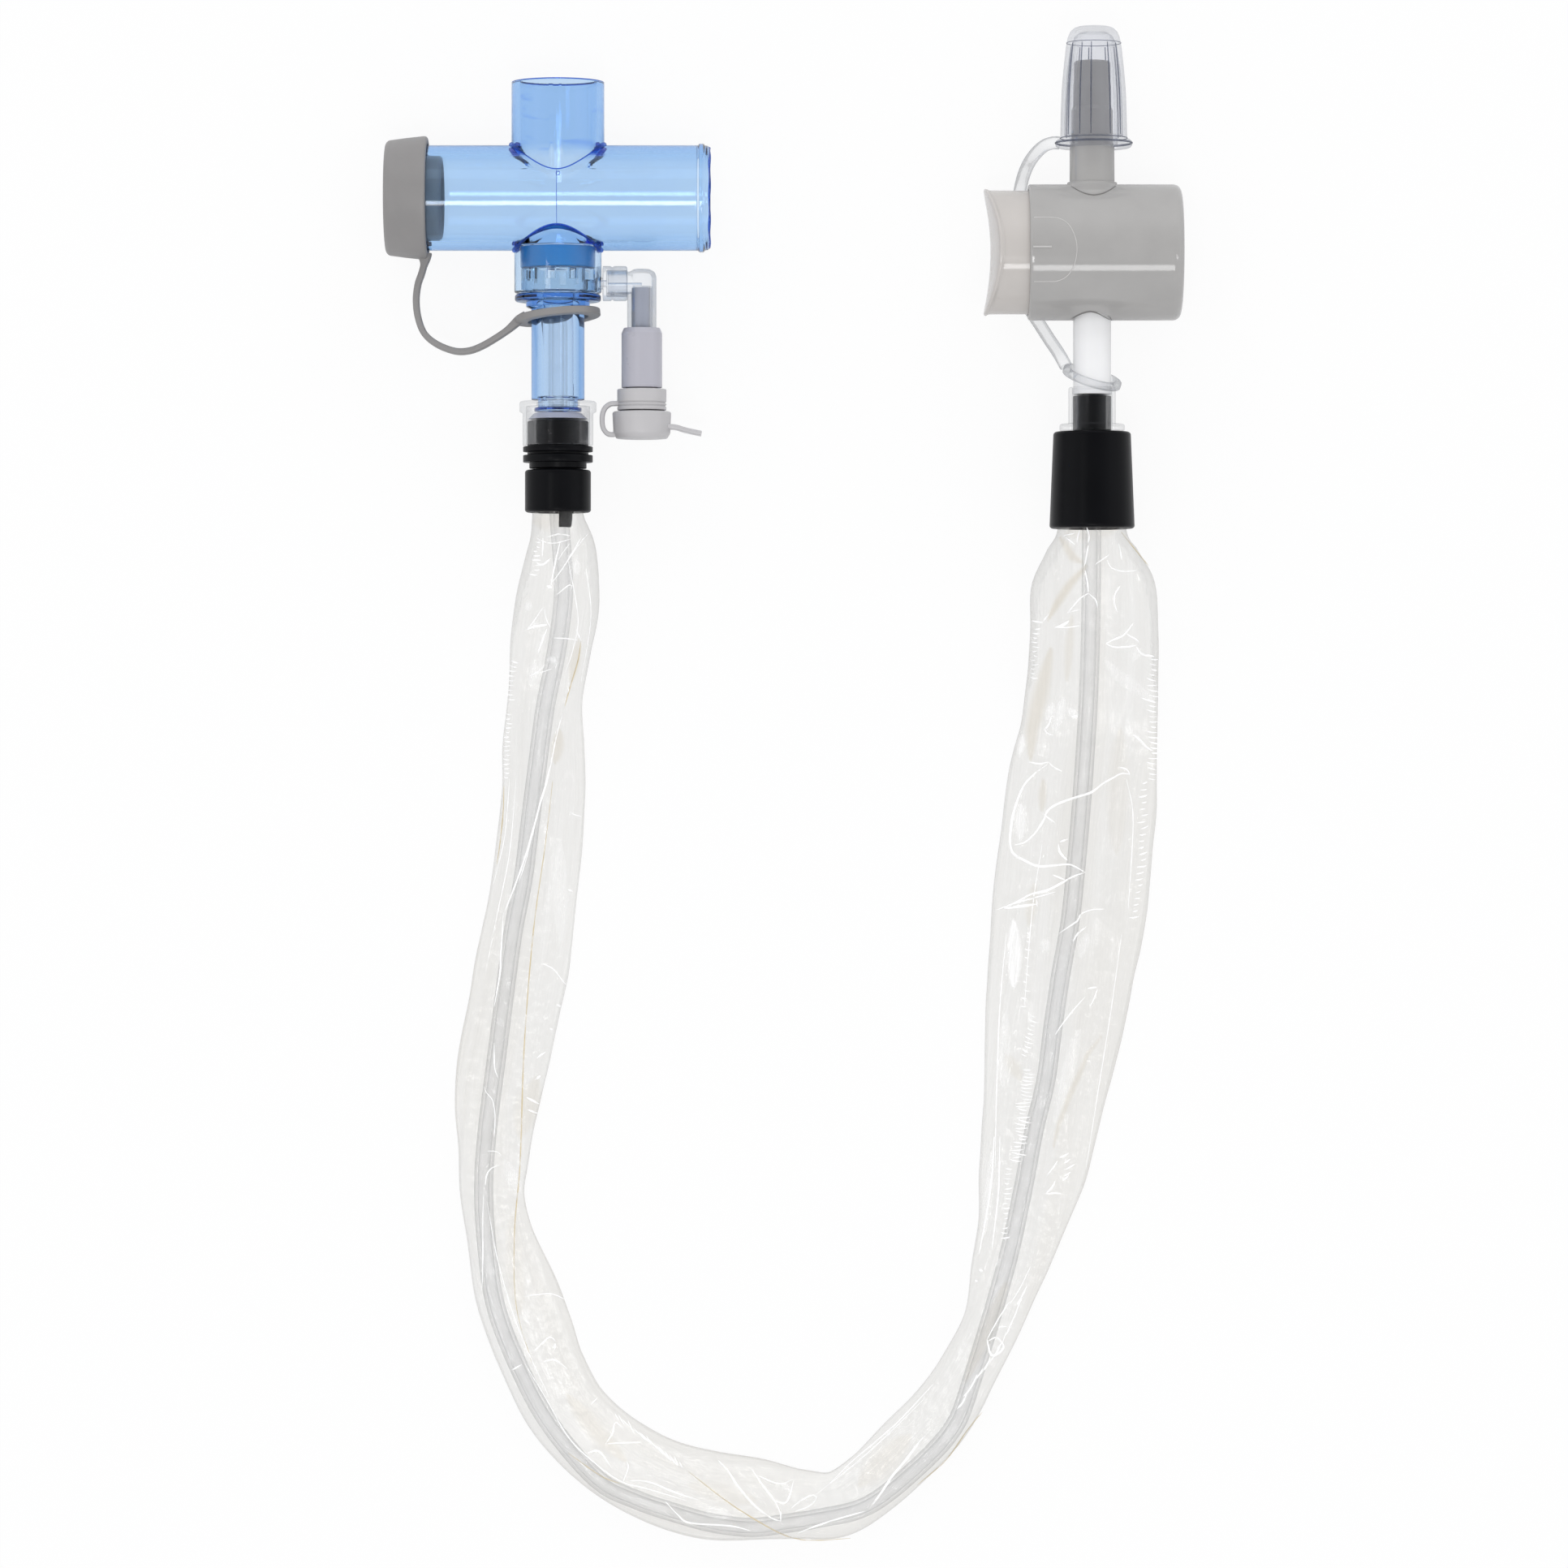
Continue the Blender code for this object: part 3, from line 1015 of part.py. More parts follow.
def make_spring():
    """Wind the return spring between the spool and the chamber's end."""
    start = SPOOL_RIGHT_X + SPRING_WIRE_RADIUS + FIT_GAP
    end = CHAMBER_END_X - SPRING_WIRE_RADIUS - FIT_GAP
    coil = CHAMBER_BORE - 0.9 * MM
    count = SPRING_TURNS * 12
    builder = bmesh.new()
    rings = []
    for step in range(count + 1):
        angle = 2 * math.pi * SPRING_TURNS * step / count
        outward = Vector((0, math.cos(angle), math.sin(angle)))
        forward = Vector((end - start, 0, 0)) / (2 * math.pi * SPRING_TURNS)
        forward += coil * Vector((0, -math.sin(angle), math.cos(angle)))
        beside = forward.normalized().cross(outward)
        middle = Vector((start + (end - start) * step / count, VALVE_Y, VALVE_Z)) + outward * coil
        ring = []
        for corner in range(6):
            turn = 2 * math.pi * corner / 6
            spot = outward * math.cos(turn) + beside * math.sin(turn)
            ring.append(builder.verts.new(middle + spot * SPRING_WIRE_RADIUS))
        rings.append(ring)
    for first, second in zip(rings, rings[1:]):
        for corner in range(6):
            after = (corner + 1) % 6
            builder.faces.new((first[corner], first[after], second[after], second[corner]))
    builder.faces.new(rings[0])
    builder.faces.new(rings[-1])
    finish_object("return_spring", builder, "steel")


def make_suction_cap():
    """Build the clear fluted cap on the nipple, its tether and the tether's ring."""
    centre = (VALVE_X, SUCTION_FLANGE_Y, VALVE_Z)
    low = (SUCTION_CAP_PROFILE[0][0] * MM - 0.01 * MM) - centre[1]
    high = 157.0 * MM - centre[1]

    def flute(local, angle):
        """Press shallow grooves into the cap's side."""
        radius = math.hypot(local.x, local.y)
        if not low < local.z < high or radius < 5 * MM:
            return local
        wave = math.cos(SUCTION_CAP_FLUTES * (angle + math.radians(18)))
        depth = SUCTION_FLUTE_DEPTH * max(0.0, wave)
        return Vector((local.x * (1 - depth / radius), local.y * (1 - depth / radius), local.z))

    profile = [(SUCTION_FLANGE_END_Y, 4.67 * MM + FIT_GAP)]
    profile += [(SUCTION_FLANGE_END_Y, SUCTION_FLANGE_RADIUS - 0.4 * MM)]
    profile += [(SUCTION_FLANGE_END_Y + 0.4 * MM, SUCTION_FLANGE_RADIUS)]
    profile += [(SUCTION_FLANGE_Y - 0.4 * MM, SUCTION_FLANGE_RADIUS)]
    profile += [(SUCTION_FLANGE_Y, SUCTION_FLANGE_RADIUS - 0.4 * MM)]
    profile += [(y * MM, radius * MM) for y, radius in SUCTION_CAP_PROFILE]
    profile += [(SUCTION_CAP_TOP_Y, 4.4 * MM), (SUCTION_CAP_TOP_Y, 0)]
    profile += [(NIPPLE_TOP_Y + 1.2 * MM, 0), (NIPPLE_TOP_Y + 1.2 * MM, 4.0 * MM + FIT_GAP)]
    profile += [(142.0 * MM, 4.0 * MM + FIT_GAP), (141.6 * MM, 4.34 * MM + FIT_GAP)]
    profile += [(134.8 * MM, 4.34 * MM + FIT_GAP), (134.0 * MM, 4.67 * MM + FIT_GAP)]
    lathe("suction_cap", profile, "y", centre, "clear", 35, flute)
    lying_height = CLEAR_STRAP_THICKNESS / 2 + 0.17 * MM
    route = smooth_route(place_route(SUCTION_STRAP_ROUTE, lying_height), 34)
    directions = []
    for index in range(len(route)):
        forward = route[min(index + 1, len(route) - 1)] - route[max(index - 1, 0)]
        directions.append(Vector(forward).cross(Vector((0, 0, 1))))
    sweep_band("suction_cap_strap", route, CLEAR_STRAP_WIDTH, CLEAR_STRAP_THICKNESS, "clear", directions)
    half = SUCTION_RING_THICKNESS / 2
    ring = tube("suction_cap_ring", SUCTION_RING_Y - half, SUCTION_RING_Y + half, SUCTION_RING_RADIUS,
                SUCTION_RING_BORE, "y", (VALVE_X, SUCTION_RING_Y, VALVE_Z), "clear", 24, 0.3 * MM)
    ring.rotation_euler = (0, 0, SUCTION_RING_TILT)


clear_scene()
make_tee()
make_tee_cap()
make_neck()
make_flush_branch()
make_swivel_and_front_clamp()
make_catheter()
make_sleeve()
make_rear_clamp_and_neck()
make_valve_body()
make_button_and_spool()
make_suction_cap()
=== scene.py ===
import math

import bmesh
import bpy
import numpy as np
from mathutils import Matrix, Vector, kdtree


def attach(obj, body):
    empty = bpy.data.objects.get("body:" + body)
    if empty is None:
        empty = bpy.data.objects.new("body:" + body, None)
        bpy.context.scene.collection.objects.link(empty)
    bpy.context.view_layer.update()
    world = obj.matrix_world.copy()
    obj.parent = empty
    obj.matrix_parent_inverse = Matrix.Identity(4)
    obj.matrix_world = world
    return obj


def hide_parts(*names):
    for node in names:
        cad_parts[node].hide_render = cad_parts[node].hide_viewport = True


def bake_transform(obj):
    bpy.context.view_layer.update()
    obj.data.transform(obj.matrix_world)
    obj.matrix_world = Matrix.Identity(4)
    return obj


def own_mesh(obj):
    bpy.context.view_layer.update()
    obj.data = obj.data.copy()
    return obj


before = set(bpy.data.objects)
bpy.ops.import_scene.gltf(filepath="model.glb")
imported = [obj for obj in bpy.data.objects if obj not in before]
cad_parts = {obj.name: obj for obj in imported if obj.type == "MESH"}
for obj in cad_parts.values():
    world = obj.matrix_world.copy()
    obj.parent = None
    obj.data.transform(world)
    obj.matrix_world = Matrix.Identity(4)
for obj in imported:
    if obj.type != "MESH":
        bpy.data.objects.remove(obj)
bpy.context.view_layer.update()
print("frame loaded")

# shared places, mm
place = {
    "neckX": -47.3, "teeY": 122.6, "teeZ": 12.9,  # patient tee
    "flushY": 104.7, "flushX": -29.75,  # flush branch
    "valveX": 64.4, "valveY": 111.1, "valveZ": 14.2,  # suction valve
}


mm = 0.001
picture = {"pxSize": 0.17143, "middle": 966, "eye": 1400}  # mm in a picture point, its middle, height of the eye
filmPx = 0.171  # mm in a picture point on the film


def pxPoint(x, y, z=0.0):  # a place on the table from its place in the picture, mm
    scale = picture["pxSize"] * (picture["eye"] - z) / picture["eye"]
    return ((x - picture["middle"]) * scale, (picture["middle"] - y) * scale, z)


# camera, light and table
cameraSet = {"height": 1.4, "lens": 152.2}
lightSet = {
    "lamps": [  # name, power, width and depth, place, aim
        ("teeStrip", 2.7, (0.3, 0.25), (-0.1, -0.315, 1.5), (-0.1, 0.12, 0)),
        ("valveStrip", 1.75, (0.3, 0.28), (0.128, -0.755, 1.5), (0.128, 0.107, 0)),
        ("softTop", 9.0, (2.2, 0.8), (0.0, 1.7, 1.0), (0, 0.0, 0)),
        ("armLeft", 0.7, (0.16, 0.3), (-0.62, 0.05, 1.3), (-0.05, 0, 0)),
        ("armRight", 0.7, (0.16, 0.3), (0.55, -0.2, 1.4), (0.05, 0, 0)),
    ],
    "skyStrength": 0.75, "glossAbove": 0.2, "glossAround": 0.95,
    "floorWhite": 0.9, "floorGlow": 0.9,
}


def makeCamera():
    lens = bpy.data.cameras.new("tableCamera")
    lens.lens = cameraSet["lens"]
    lens.sensor_width = 36
    lens.clip_start, lens.clip_end = 0.05, 20
    eye = bpy.data.objects.new("tableCamera", lens)
    eye.location = (0, 0, cameraSet["height"])  # straight down, +Y up in the picture
    bpy.context.scene.collection.objects.link(eye)
    bpy.context.scene.camera = eye


def makeLamp(name, power, size, at, aim):
    lamp = bpy.data.lights.new(name, "AREA")
    lamp.shape = "RECTANGLE"
    lamp.size, lamp.size_y = size
    lamp.energy = power
    holder = bpy.data.objects.new(name, lamp)
    holder.location = at
    holder.rotation_euler = (Vector(aim) - Vector(at)).to_track_quat("-Z", "Y").to_euler()
    holder.visible_glossy = name != "softTop"  # the wide lamp stays out of reflections
    bpy.context.scene.collection.objects.link(holder)


def setInputs(tree, node, inputs):  # each value is a number, a colour or another node's output
    for socket, value in inputs.items():
        if isinstance(value, bpy.types.NodeSocket):
            tree.links.new(value, node.inputs[socket])
        else:
            node.inputs[socket].default_value = value


def addNode(tree, kind, inputs, out=0, **settings):  # makes a shader node and returns one of its outputs
    made = tree.nodes.new("ShaderNode" + kind)
    for name, value in settings.items():
        setattr(made, name, value)
    setInputs(tree, made, inputs)
    return made.outputs[out] if len(made.outputs) else made


def mathValue(tree, operation, first, second):
    return addNode(tree, "Math", {0: first, 1: second}, operation=operation)


def rayMix(tree, kinds):  # 1 for the named kinds of ray
    path = tree.nodes.new("ShaderNodeLightPath")
    total = path.outputs[kinds[0]]
    for kind in kinds[1:]:
        total = mathValue(tree, "MAXIMUM", total, path.outputs[kind])
    return total


def mapRange(tree, value, low, high, toLow, toHigh):
    inputs = {"From Min": low, "From Max": high, "To Min": toLow, "To Max": toHigh, "Value": value}
    return addNode(tree, "MapRange", inputs, "Result")


def noiseValue(tree, vector, scale, detail=3.0):
    return addNode(tree, "TexNoise", {"Scale": scale, "Detail": detail, "Vector": vector}, "Fac")


def shaderMix(tree, share, first, second):
    return addNode(tree, "MixShader", {0: share, 1: first, 2: second})


def emptyTree(holder):
    holder.use_nodes = True
    holder.node_tree.nodes.clear()
    return holder.node_tree


def makeSurroundings():
    world = bpy.data.worlds.new("paleRoom")
    bpy.context.scene.world = world
    tree = emptyTree(world)
    # in reflections the room is dim overhead and pale all round
    upward = addNode(tree, "SeparateXYZ", {0: addNode(tree, "TexCoord", {}, "Generated")}, "Z")
    around = mapRange(tree, upward, 0.6, 0.97, lightSet["glossAround"], lightSet["glossAbove"])
    looks = [addNode(tree, "Background", {"Color": colour, "Strength": strength}) for colour, strength in (
        ((0.98, 0.985, 1.0, 1), lightSet["skyStrength"]), ((0.98, 0.99, 1, 1), around), ((1, 1, 1, 1), 1.0))]
    room = shaderMix(tree, rayMix(tree, ["Is Glossy Ray"]), looks[0], looks[1])
    seenRays = ["Is Camera Ray", "Is Transmission Ray"]
    addNode(tree, "OutputWorld", {"Surface": shaderMix(tree, rayMix(tree, seenRays), room, looks[2])})

    mesh = bpy.data.meshes.new("paleTable")
    half = 3.0
    mesh.from_pydata([(-half, -half, 0), (half, -half, 0), (half, half, 0), (-half, half, 0)], [], [(0, 1, 2, 3)])
    table = bpy.data.objects.new("paleTable", mesh)
    table.location = (0, 0, -0.0002)
    bpy.context.scene.collection.objects.link(table)
    paint = bpy.data.materials.new("paleTable")
    tree = emptyTree(paint)
    matt = addNode(tree, "BsdfDiffuse", {"Color": (*[lightSet["floorWhite"]] * 3, 1)})
    glow = addNode(tree, "Emission", {"Color": (1, 1, 1, 1), "Strength": 1.0})
    share = mapRange(tree, rayMix(tree, seenRays), 0, 1, 0, lightSet["floorGlow"])
    addNode(tree, "OutputMaterial", {"Surface": shaderMix(tree, share, matt, glow)})
    mesh.materials.append(paint)


makeCamera()
makeSurroundings()
for lampRow in lightSet["lamps"]:
    makeLamp(*lampRow)
bpy.context.scene.view_settings.view_transform = "Standard"
print("camera, lamps and table set")


# materials
def freshMaterial(name):
    made = bpy.data.materials.new(name)
    made.use_nodes = True
    tree = made.node_tree
    return made, tree, tree.nodes["Principled BSDF"], addNode(tree, "TexCoord", {}, "Object")


def setSurface(tree, surface):
    tree.links.new(surface, tree.nodes["Material Output"].inputs["Surface"])


def darker(colour, share):
    return [c * share for c in colour]


def colourRamp(tree, value, first, second, low=0.0, high=1.0):
    ramp = tree.nodes.new("ShaderNodeValToRGB")
    for element, position, colour in zip(ramp.color_ramp.elements, (low, high), (first, second)):
        element.position = position
        element.color = (*colour, 1)
    tree.links.new(value, ramp.inputs["Fac"])
    return ramp.outputs["Color"]


def colourMix(tree, share, first, second):
    return addNode(tree, "Mix", {"Factor": share, 6: first, 7: second}, 2, data_type="RGBA")


def bumpNormal(tree, height, strength, distance=0.00008):
    return addNode(tree, "Bump", {"Strength": strength, "Distance": distance, "Height": height}, "Normal")


def shineOver(tree, surface, normal, index, rough, top, shine):  # a glossy skin, stronger at a grazing angle
    gloss = addNode(tree, "BsdfGlossy", {"Roughness": rough, "Normal": normal})
    fresnel = addNode(tree, "Fresnel", {"IOR": index, "Normal": normal})
    setSurface(tree, shaderMix(tree, mapRange(tree, fresnel, 0, top, 0, shine), surface, gloss))


def mouldedPlastic(name, colour, rough, spread=0.05, grain=900, bumpStrength=0.25, sheen=0.5):
    # one moulded plastic: close shades in soft clouds and specks, fine grain, uneven gloss
    made, tree, shader, spots = freshMaterial(name)
    clouds = noiseValue(tree, spots, 140, 9)
    paler = [min(1, c * (1 + spread)) for c in colour]
    setInputs(tree, shader, {
        "Base Color": colourRamp(tree, clouds, darker(colour, 1 - spread), paler, 0.2, 0.8),
        "Roughness": mapRange(tree, clouds, 0, 1, 0.88 * rough, 1.12 * rough),
        "Normal": bumpNormal(tree, noiseValue(tree, spots, grain, 4), bumpStrength),
        "Specular IOR Level": sheen})
    return made


def clearPlastic(name, loss, rough=0.03, index=1.4, waver=0.12, deeper=None):
    # solid clear plastic: bends light, and tints it with its own thickness (loss of red, green, blue per metre)
    made, tree, shader, spots = freshMaterial(name)
    noise = noiseValue(tree, spots, 130, 2)
    tint = colourRamp(tree, noise, (0.97, 0.98, 1.0), (1, 1, 1), 0.3, 0.7)
    if deeper:  # a deeper tint past a place along Y, with a few darker slanted streaks
        share = mapRange(tree, addNode(tree, "SeparateXYZ", {0: spots}, "Y"), deeper["from"], deeper["to"], 0, 1)
        turn = (0, 0, deeper["streakTurn"])
        slant = addNode(tree, "Mapping", {"Rotation": turn, "Scale": (60, 420, 60), "Vector": spots})
        streak = colourRamp(tree, noiseValue(tree, slant, 1.0, 3), deeper["tint"], deeper["streak"], 0.6, 0.68)
        tint = colourMix(tree, share, tint, streak)
    setInputs(tree, shader, {
        "Transmission Weight": 1.0, "IOR": index, "Base Color": tint,
        "Normal": bumpNormal(tree, noise, waver, 0.0004),
        "Roughness": mapRange(tree, noise, 0, 1, rough, rough + 0.02)})
    biggest = max(loss)
    kept = (*[1 - each / biggest for each in loss], 1)
    inside = addNode(tree, "VolumeAbsorption", {"Color": kept, "Density": biggest}, "Volume")
    tree.links.new(inside, tree.nodes["Material Output"].inputs["Volume"])
    return made


def thinClear(name, tint, edgeTint, body=0.04, edge=0.8, rough=0.08, grain=160, waver=0.2, blend=0.12, shine=0.4):
    # a thin clear wall: passes light with a faint tint, more at a grazing angle, and shines
    made, tree, shader, spots = freshMaterial(name)
    noise = noiseValue(tree, spots, grain, 3)
    setInputs(tree, shader, {
        "Base Color": colourRamp(tree, noise, darker(edgeTint, 0.96), edgeTint, 0.3, 0.7),
        "Specular IOR Level": 0.2, "Roughness": 0.4})
    passed = colourRamp(tree, noise, darker(tint, 0.985), tint, 0.35, 0.65)
    through = addNode(tree, "BsdfTransparent", {"Color": passed})
    facing = addNode(tree, "LayerWeight", {"Blend": blend}, "Facing")
    wall = shaderMix(tree, mapRange(tree, facing, 0, 1, body, edge), through, shader.outputs[0])
    normal = bumpNormal(tree, noise, waver, 0.0003)
    shineOver(tree, wall, normal, 1.45, mapRange(tree, noise, 0, 1, rough, rough + 0.06), 1, shine)
    return made


def filmPlastic(name):
    # crumpled clear film: faint milky streaks along it, warm where it lies double, and white with a faint glow in
    # painted highlights where it would catch the light
    made, tree, shader, spots = freshMaterial(name)
    across = addNode(tree, "UVMap", {}, uv_map="alongFilm")
    streak = noiseValue(tree, addNode(tree, "Mapping", {"Scale": (0.55, 0.018, 1), "Vector": across}), 1.0, 6)
    scratch = noiseValue(tree, addNode(tree, "Mapping", {"Scale": (2.2, 0.12, 1), "Vector": across}), 1.0, 5)
    paintedSheenAndWarmth = addNode(tree, "Attribute", {}, "Color", attribute_name="paintedSheenAndWarmth")
    paintedSheen = addNode(tree, "SeparateColor", {0: paintedSheenAndWarmth})
    double = paintedSheen.node.outputs[1]
    # clear part, warmer where the film lies double
    clear = colourRamp(tree, streak, (0.930, 0.926, 0.917), (0.957, 0.955, 0.949), 0.32, 0.66)
    through = addNode(tree, "BsdfTransparent", {"Color": colourMix(tree, double, clear, (0.80, 0.75, 0.66, 1))})
    setInputs(tree, shader, {"Base Color": (0.93, 0.92, 0.9, 1), "Roughness": 0.5})
    grazing = mapRange(tree, addNode(tree, "LayerWeight", {"Blend": 0.15}, "Facing"), 0, 1, 0.0, 0.3)
    veil = mathValue(tree, "MAXIMUM", mapRange(tree, scratch, 0.3, 0.75, 0.02, 0.07), grazing)
    milk = shaderMix(tree, veil, through, shader.outputs[0])
    # painted highlights: a white surface with a faint glow, mixed in where the film is marked as catching the light
    paintedWhite = addNode(tree, "BsdfPrincipled", {
        "Base Color": (1, 1, 1, 1), "Emission Color": (1, 1, 1, 1), "Emission Strength": 0.12})
    paintedLitShare = mathValue(tree, "MULTIPLY", paintedSheen, mapRange(tree, scratch, 0.3, 0.65, 0.25, 0.75))
    height = mathValue(tree, "ADD", streak, noiseValue(tree, spots, 420, 3))
    shineOver(tree, shaderMix(tree, paintedLitShare, milk, paintedWhite), bumpNormal(tree, height, 0.5, 0.0004), 1.55, 0.1, 0.6, 0.3)
    return made


def brightFold(name, colour, low, high, paintedGlint=0.0, rough=0.3):
    # a sharp fold: partly see-through, unevenly along its length; white and with a glow, its colour is a painted
    # highlight where the fold catches the light
    made, tree, shader, spots = freshMaterial(name)
    noise = noiseValue(tree, spots, 320, 2)
    setInputs(tree, shader, {
        "Base Color": colourRamp(tree, noise, darker(colour, 0.97), colour), "Roughness": rough,
        "Emission Color": (*colour, 1), "Emission Strength": paintedGlint})
    through = addNode(tree, "BsdfTransparent", {})
    setSurface(tree, shaderMix(tree, mapRange(tree, noise, 0.35, 0.6, low, high), through, shader.outputs[0]))
    return made


def milkyPlastic(name, colour, rough, through=0.0, glow=0.15):
    # half clear plastic that scatters light inside
    made = mouldedPlastic(name, colour, rough, 0.03, 400, 0.12)
    setInputs(made.node_tree, made.node_tree.nodes["Principled BSDF"], {
        "Transmission Weight": through, "Subsurface Weight": glow, "Subsurface Radius": (0.002, 0.002, 0.0022)})
    return made


def brushedWire(name, colour):
    made, tree, shader, spots = freshMaterial(name)
    noise = noiseValue(tree, spots, 1500, 4)
    setInputs(tree, shader, {
        "Metallic": 1.0, "Roughness": 0.28, "Normal": bumpNormal(tree, noise, 0.3),
        "Base Color": colourRamp(tree, noise, darker(colour, 0.8), colour)})
    return made


portShade = {"from": 0.1318, "to": 0.1334, "tint": (0.80, 0.88, 0.975),
             "streak": (0.60, 0.73, 0.97), "streakTurn": 0.6}
hubShade = {"from": 0.0992, "to": 0.1002, "tint": (0.62, 0.77, 0.94),
            "streak": (0.45, 0.63, 0.93), "streakTurn": 0.1}
blueLoss = (215, 114, 26)
finishRows = {  # how it is made, then its values
    "blueClear": (clearPlastic, (145, 84, 26), 0.02, 1.4, 0.06, hubShade),
    "blueTee": (clearPlastic, blueLoss, 0.02, 1.4, 0.035, portShade),
    # deeper blue: the tee's joint, mould line and rim beads carry painted shade for the dark lines that refraction
    # makes there
    "blueFold": (thinClear, (0.36, 0.52, 0.93), (0.05, 0.16, 0.62), 0.05, 0.9, 0.08, 160, 0.2, 0.25),
    "retainerClear": (clearPlastic, (140, 85, 45), 0.03, 1.34),
    "cupClear": (thinClear, (0.991, 0.992, 0.994), (0.62, 0.65, 0.69), 0.002, 0.36, 0.08, 160, 0.2, 0.07, 0.2),
    "elbowClear": (thinClear, (0.955, 0.965, 0.98), (0.55, 0.6, 0.67), 0.01, 0.6, 0.08, 160, 0.2, 0.09),
    "capClear": (thinClear, (0.938, 0.942, 0.955), (0.52, 0.55, 0.62), 0.005, 0.45, 0.1, 120, 0.25, 0.07, 0.25),
    "strapClear": (thinClear, (0.982, 0.984, 0.988), (0.34, 0.37, 0.42), 0.01, 0.9, 0.1, 200, 0.2, 0.12),
    # darker tint: the rib and rim beads draw the flutes' outlines as painted shade lines
    "capRib": (thinClear, (0.62, 0.64, 0.70), (0.25, 0.27, 0.33), 0.15, 0.8),
    "tealRubber": (mouldedPlastic, (0.006, 0.25, 0.62), 0.35, 0.08, 500, 0.3),
    "capGrey": (mouldedPlastic, (0.262, 0.254, 0.252), 0.45, 0.06, 700, 0.35),
    "valveGrey": (mouldedPlastic, (0.402, 0.394, 0.386), 0.1, 0.05, 900, 0.08),
    # darker grey for the painted shade lines at the valve's rim
    "valveCrease": (mouldedPlastic, (0.23, 0.225, 0.22), 0.4, 0.05, 900, 0.1),
    # lighter than the valve: the raised outline is real, and its lighter colour is a painted highlight on its lit side
    "valveMark": (mouldedPlastic, (0.56, 0.55, 0.54), 0.3, 0.05, 900, 0.1),
    "ivory": (mouldedPlastic, (0.565, 0.535, 0.51), 0.1, 0.04, 700, 0.08),
    "palePlastic": (mouldedPlastic, (0.52, 0.51, 0.52), 0.34, 0.03, 500, 0.2),
    "lavender": (milkyPlastic, (0.47, 0.465, 0.52), 0.28),
    "milkyGrey": (milkyPlastic, (0.50, 0.51, 0.57), 0.3),
    "milkWhite": (milkyPlastic, (0.93, 0.93, 0.935), 0.25),
    "coneMilk": (milkyPlastic, (0.42, 0.45, 0.56), 0.3),
    "blackGloss": (mouldedPlastic, (0.0032, 0.0034, 0.0045), 0.3, 0.15, 500, 0.12, 0.1),
    "blackRubber": (mouldedPlastic, (0.008, 0.008, 0.009), 0.4, 0.15, 700, 0.3, 0.2),
    "springWire": (brushedWire, (0.6, 0.6, 0.61)),
    "film": (filmPlastic,),
    # white with a faint glow: a painted highlight along the film's folds and crimps
    "filmFold": (brightFold, (1.0, 1.0, 1.0), 0.65, 1.0, 0.14),
    "filmSeam": (brightFold, (0.78, 0.66, 0.42), 0.2, 0.75),
    "catheterClear": (thinClear, (0.992, 0.993, 0.996), (0.62, 0.63, 0.66), 0.005, 0.45, 0.12, 300, 0.15, 0.1, 0.25),
}
finish = {name: make(name, *values) for name, (make, *values) in finishRows.items()}
print("finishes ready:", len(finish))


# mesh makers
def addPiece(name, mesh, look, body, stands=()):
    made = bpy.data.objects.new(name, mesh)
    bpy.context.scene.collection.objects.link(made)
    mesh.materials.clear()
    mesh.materials.append(finish[look])
    if body:
        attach(made, body)
    if stands:
        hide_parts(*stands)
    return made


def smoothMesh(mesh, angle=38):
    mesh.shade_smooth()
    mesh.set_sharp_from_angle(angle=math.radians(angle))
    return mesh


def softenProfile(points, radius, steps=3):  # rounds each corner of a turned outline
    if radius <= 0:
        return list(points)
    made = []
    last = len(points) - 1
    for index, (a, r) in enumerate(points):
        here = Vector((a, r))
        if index in (0, last) or r < 1e-6:
            made.append((a, r))
            continue
        before = Vector(points[index - 1]) - here
        after = Vector(points[index + 1]) - here
        if min(before.length, after.length) < 1e-6 or before.angle(after) > math.radians(165):
            made.append((a, r))
            continue
        cut = min(radius, 0.42 * before.length, 0.42 * after.length)
        start = here + before.normalized() * cut
        end = here + after.normalized() * cut
        for step in range(steps + 1):
            t = step / steps
            spot = start * (1 - t) ** 2 + here * 2 * t * (1 - t) + end * t ** 2
            made.append((spot.x, spot.y))
    return made


def addStays(outline, reach=0.5):  # a ring just inside each end of a long straight part keeps its shading true
    made = [outline[0]]
    for (a, r), (b, s) in zip(outline, outline[1:]):
        length = math.hypot(b - a, s - r)
        if length > 4 * reach and min(r, s) > 1e-6:
            for share in (reach / length, 1 - reach / length):
                made.append((a + (b - a) * share, r + (s - r) * share))
        made.append((b, s))
    return made


def meshFrom(name, bm, angle=38):
    bmesh.ops.recalc_face_normals(bm, faces=bm.faces)
    mesh = bpy.data.meshes.new(name)
    bm.to_mesh(mesh)
    bm.free()
    return smoothMesh(mesh, angle)


def joinRings(bm, rings, closed=False):
    pairs = list(zip(rings, rings[1:])) + ([(rings[-1], rings[0])] if closed else [])
    for first, second in pairs:
        steps = max(len(first), len(second))
        for step in range(steps if steps > 1 else 0):
            after = (step + 1) % steps
            if len(first) == 1:
                bm.faces.new((first[0], second[step], second[after]))
            elif len(second) == 1:
                bm.faces.new((first[step], first[after], second[0]))
            else:
                bm.faces.new((first[step], first[after], second[after], second[step]))


def skinMesh(name, parts, closed=False, capped=True, angle=38):  # each part is a row of rings of points, mm
    bm = bmesh.new()
    for part in parts:
        rings = [[bm.verts.new(Vector(point) * mm) for point in ring] for ring in part]
        joinRings(bm, rings, closed)
        if capped:
            bm.faces.new(rings[0])
            bm.faces.new(rings[-1])
    return meshFrom(name, bm, angle)


def heading(line, index):
    last = len(line) - 1
    return (Vector(line[min(index + 1, last)]) - Vector(line[max(index - 1, 0)])).normalized()


def roundRing(point, side, top, radius, sides, flat=1.0):
    turns = [2 * math.pi * k / sides for k in range(sides)]
    return [Vector(point) + side * radius * math.cos(turn) + top * radius * flat * math.sin(turn) for turn in turns]


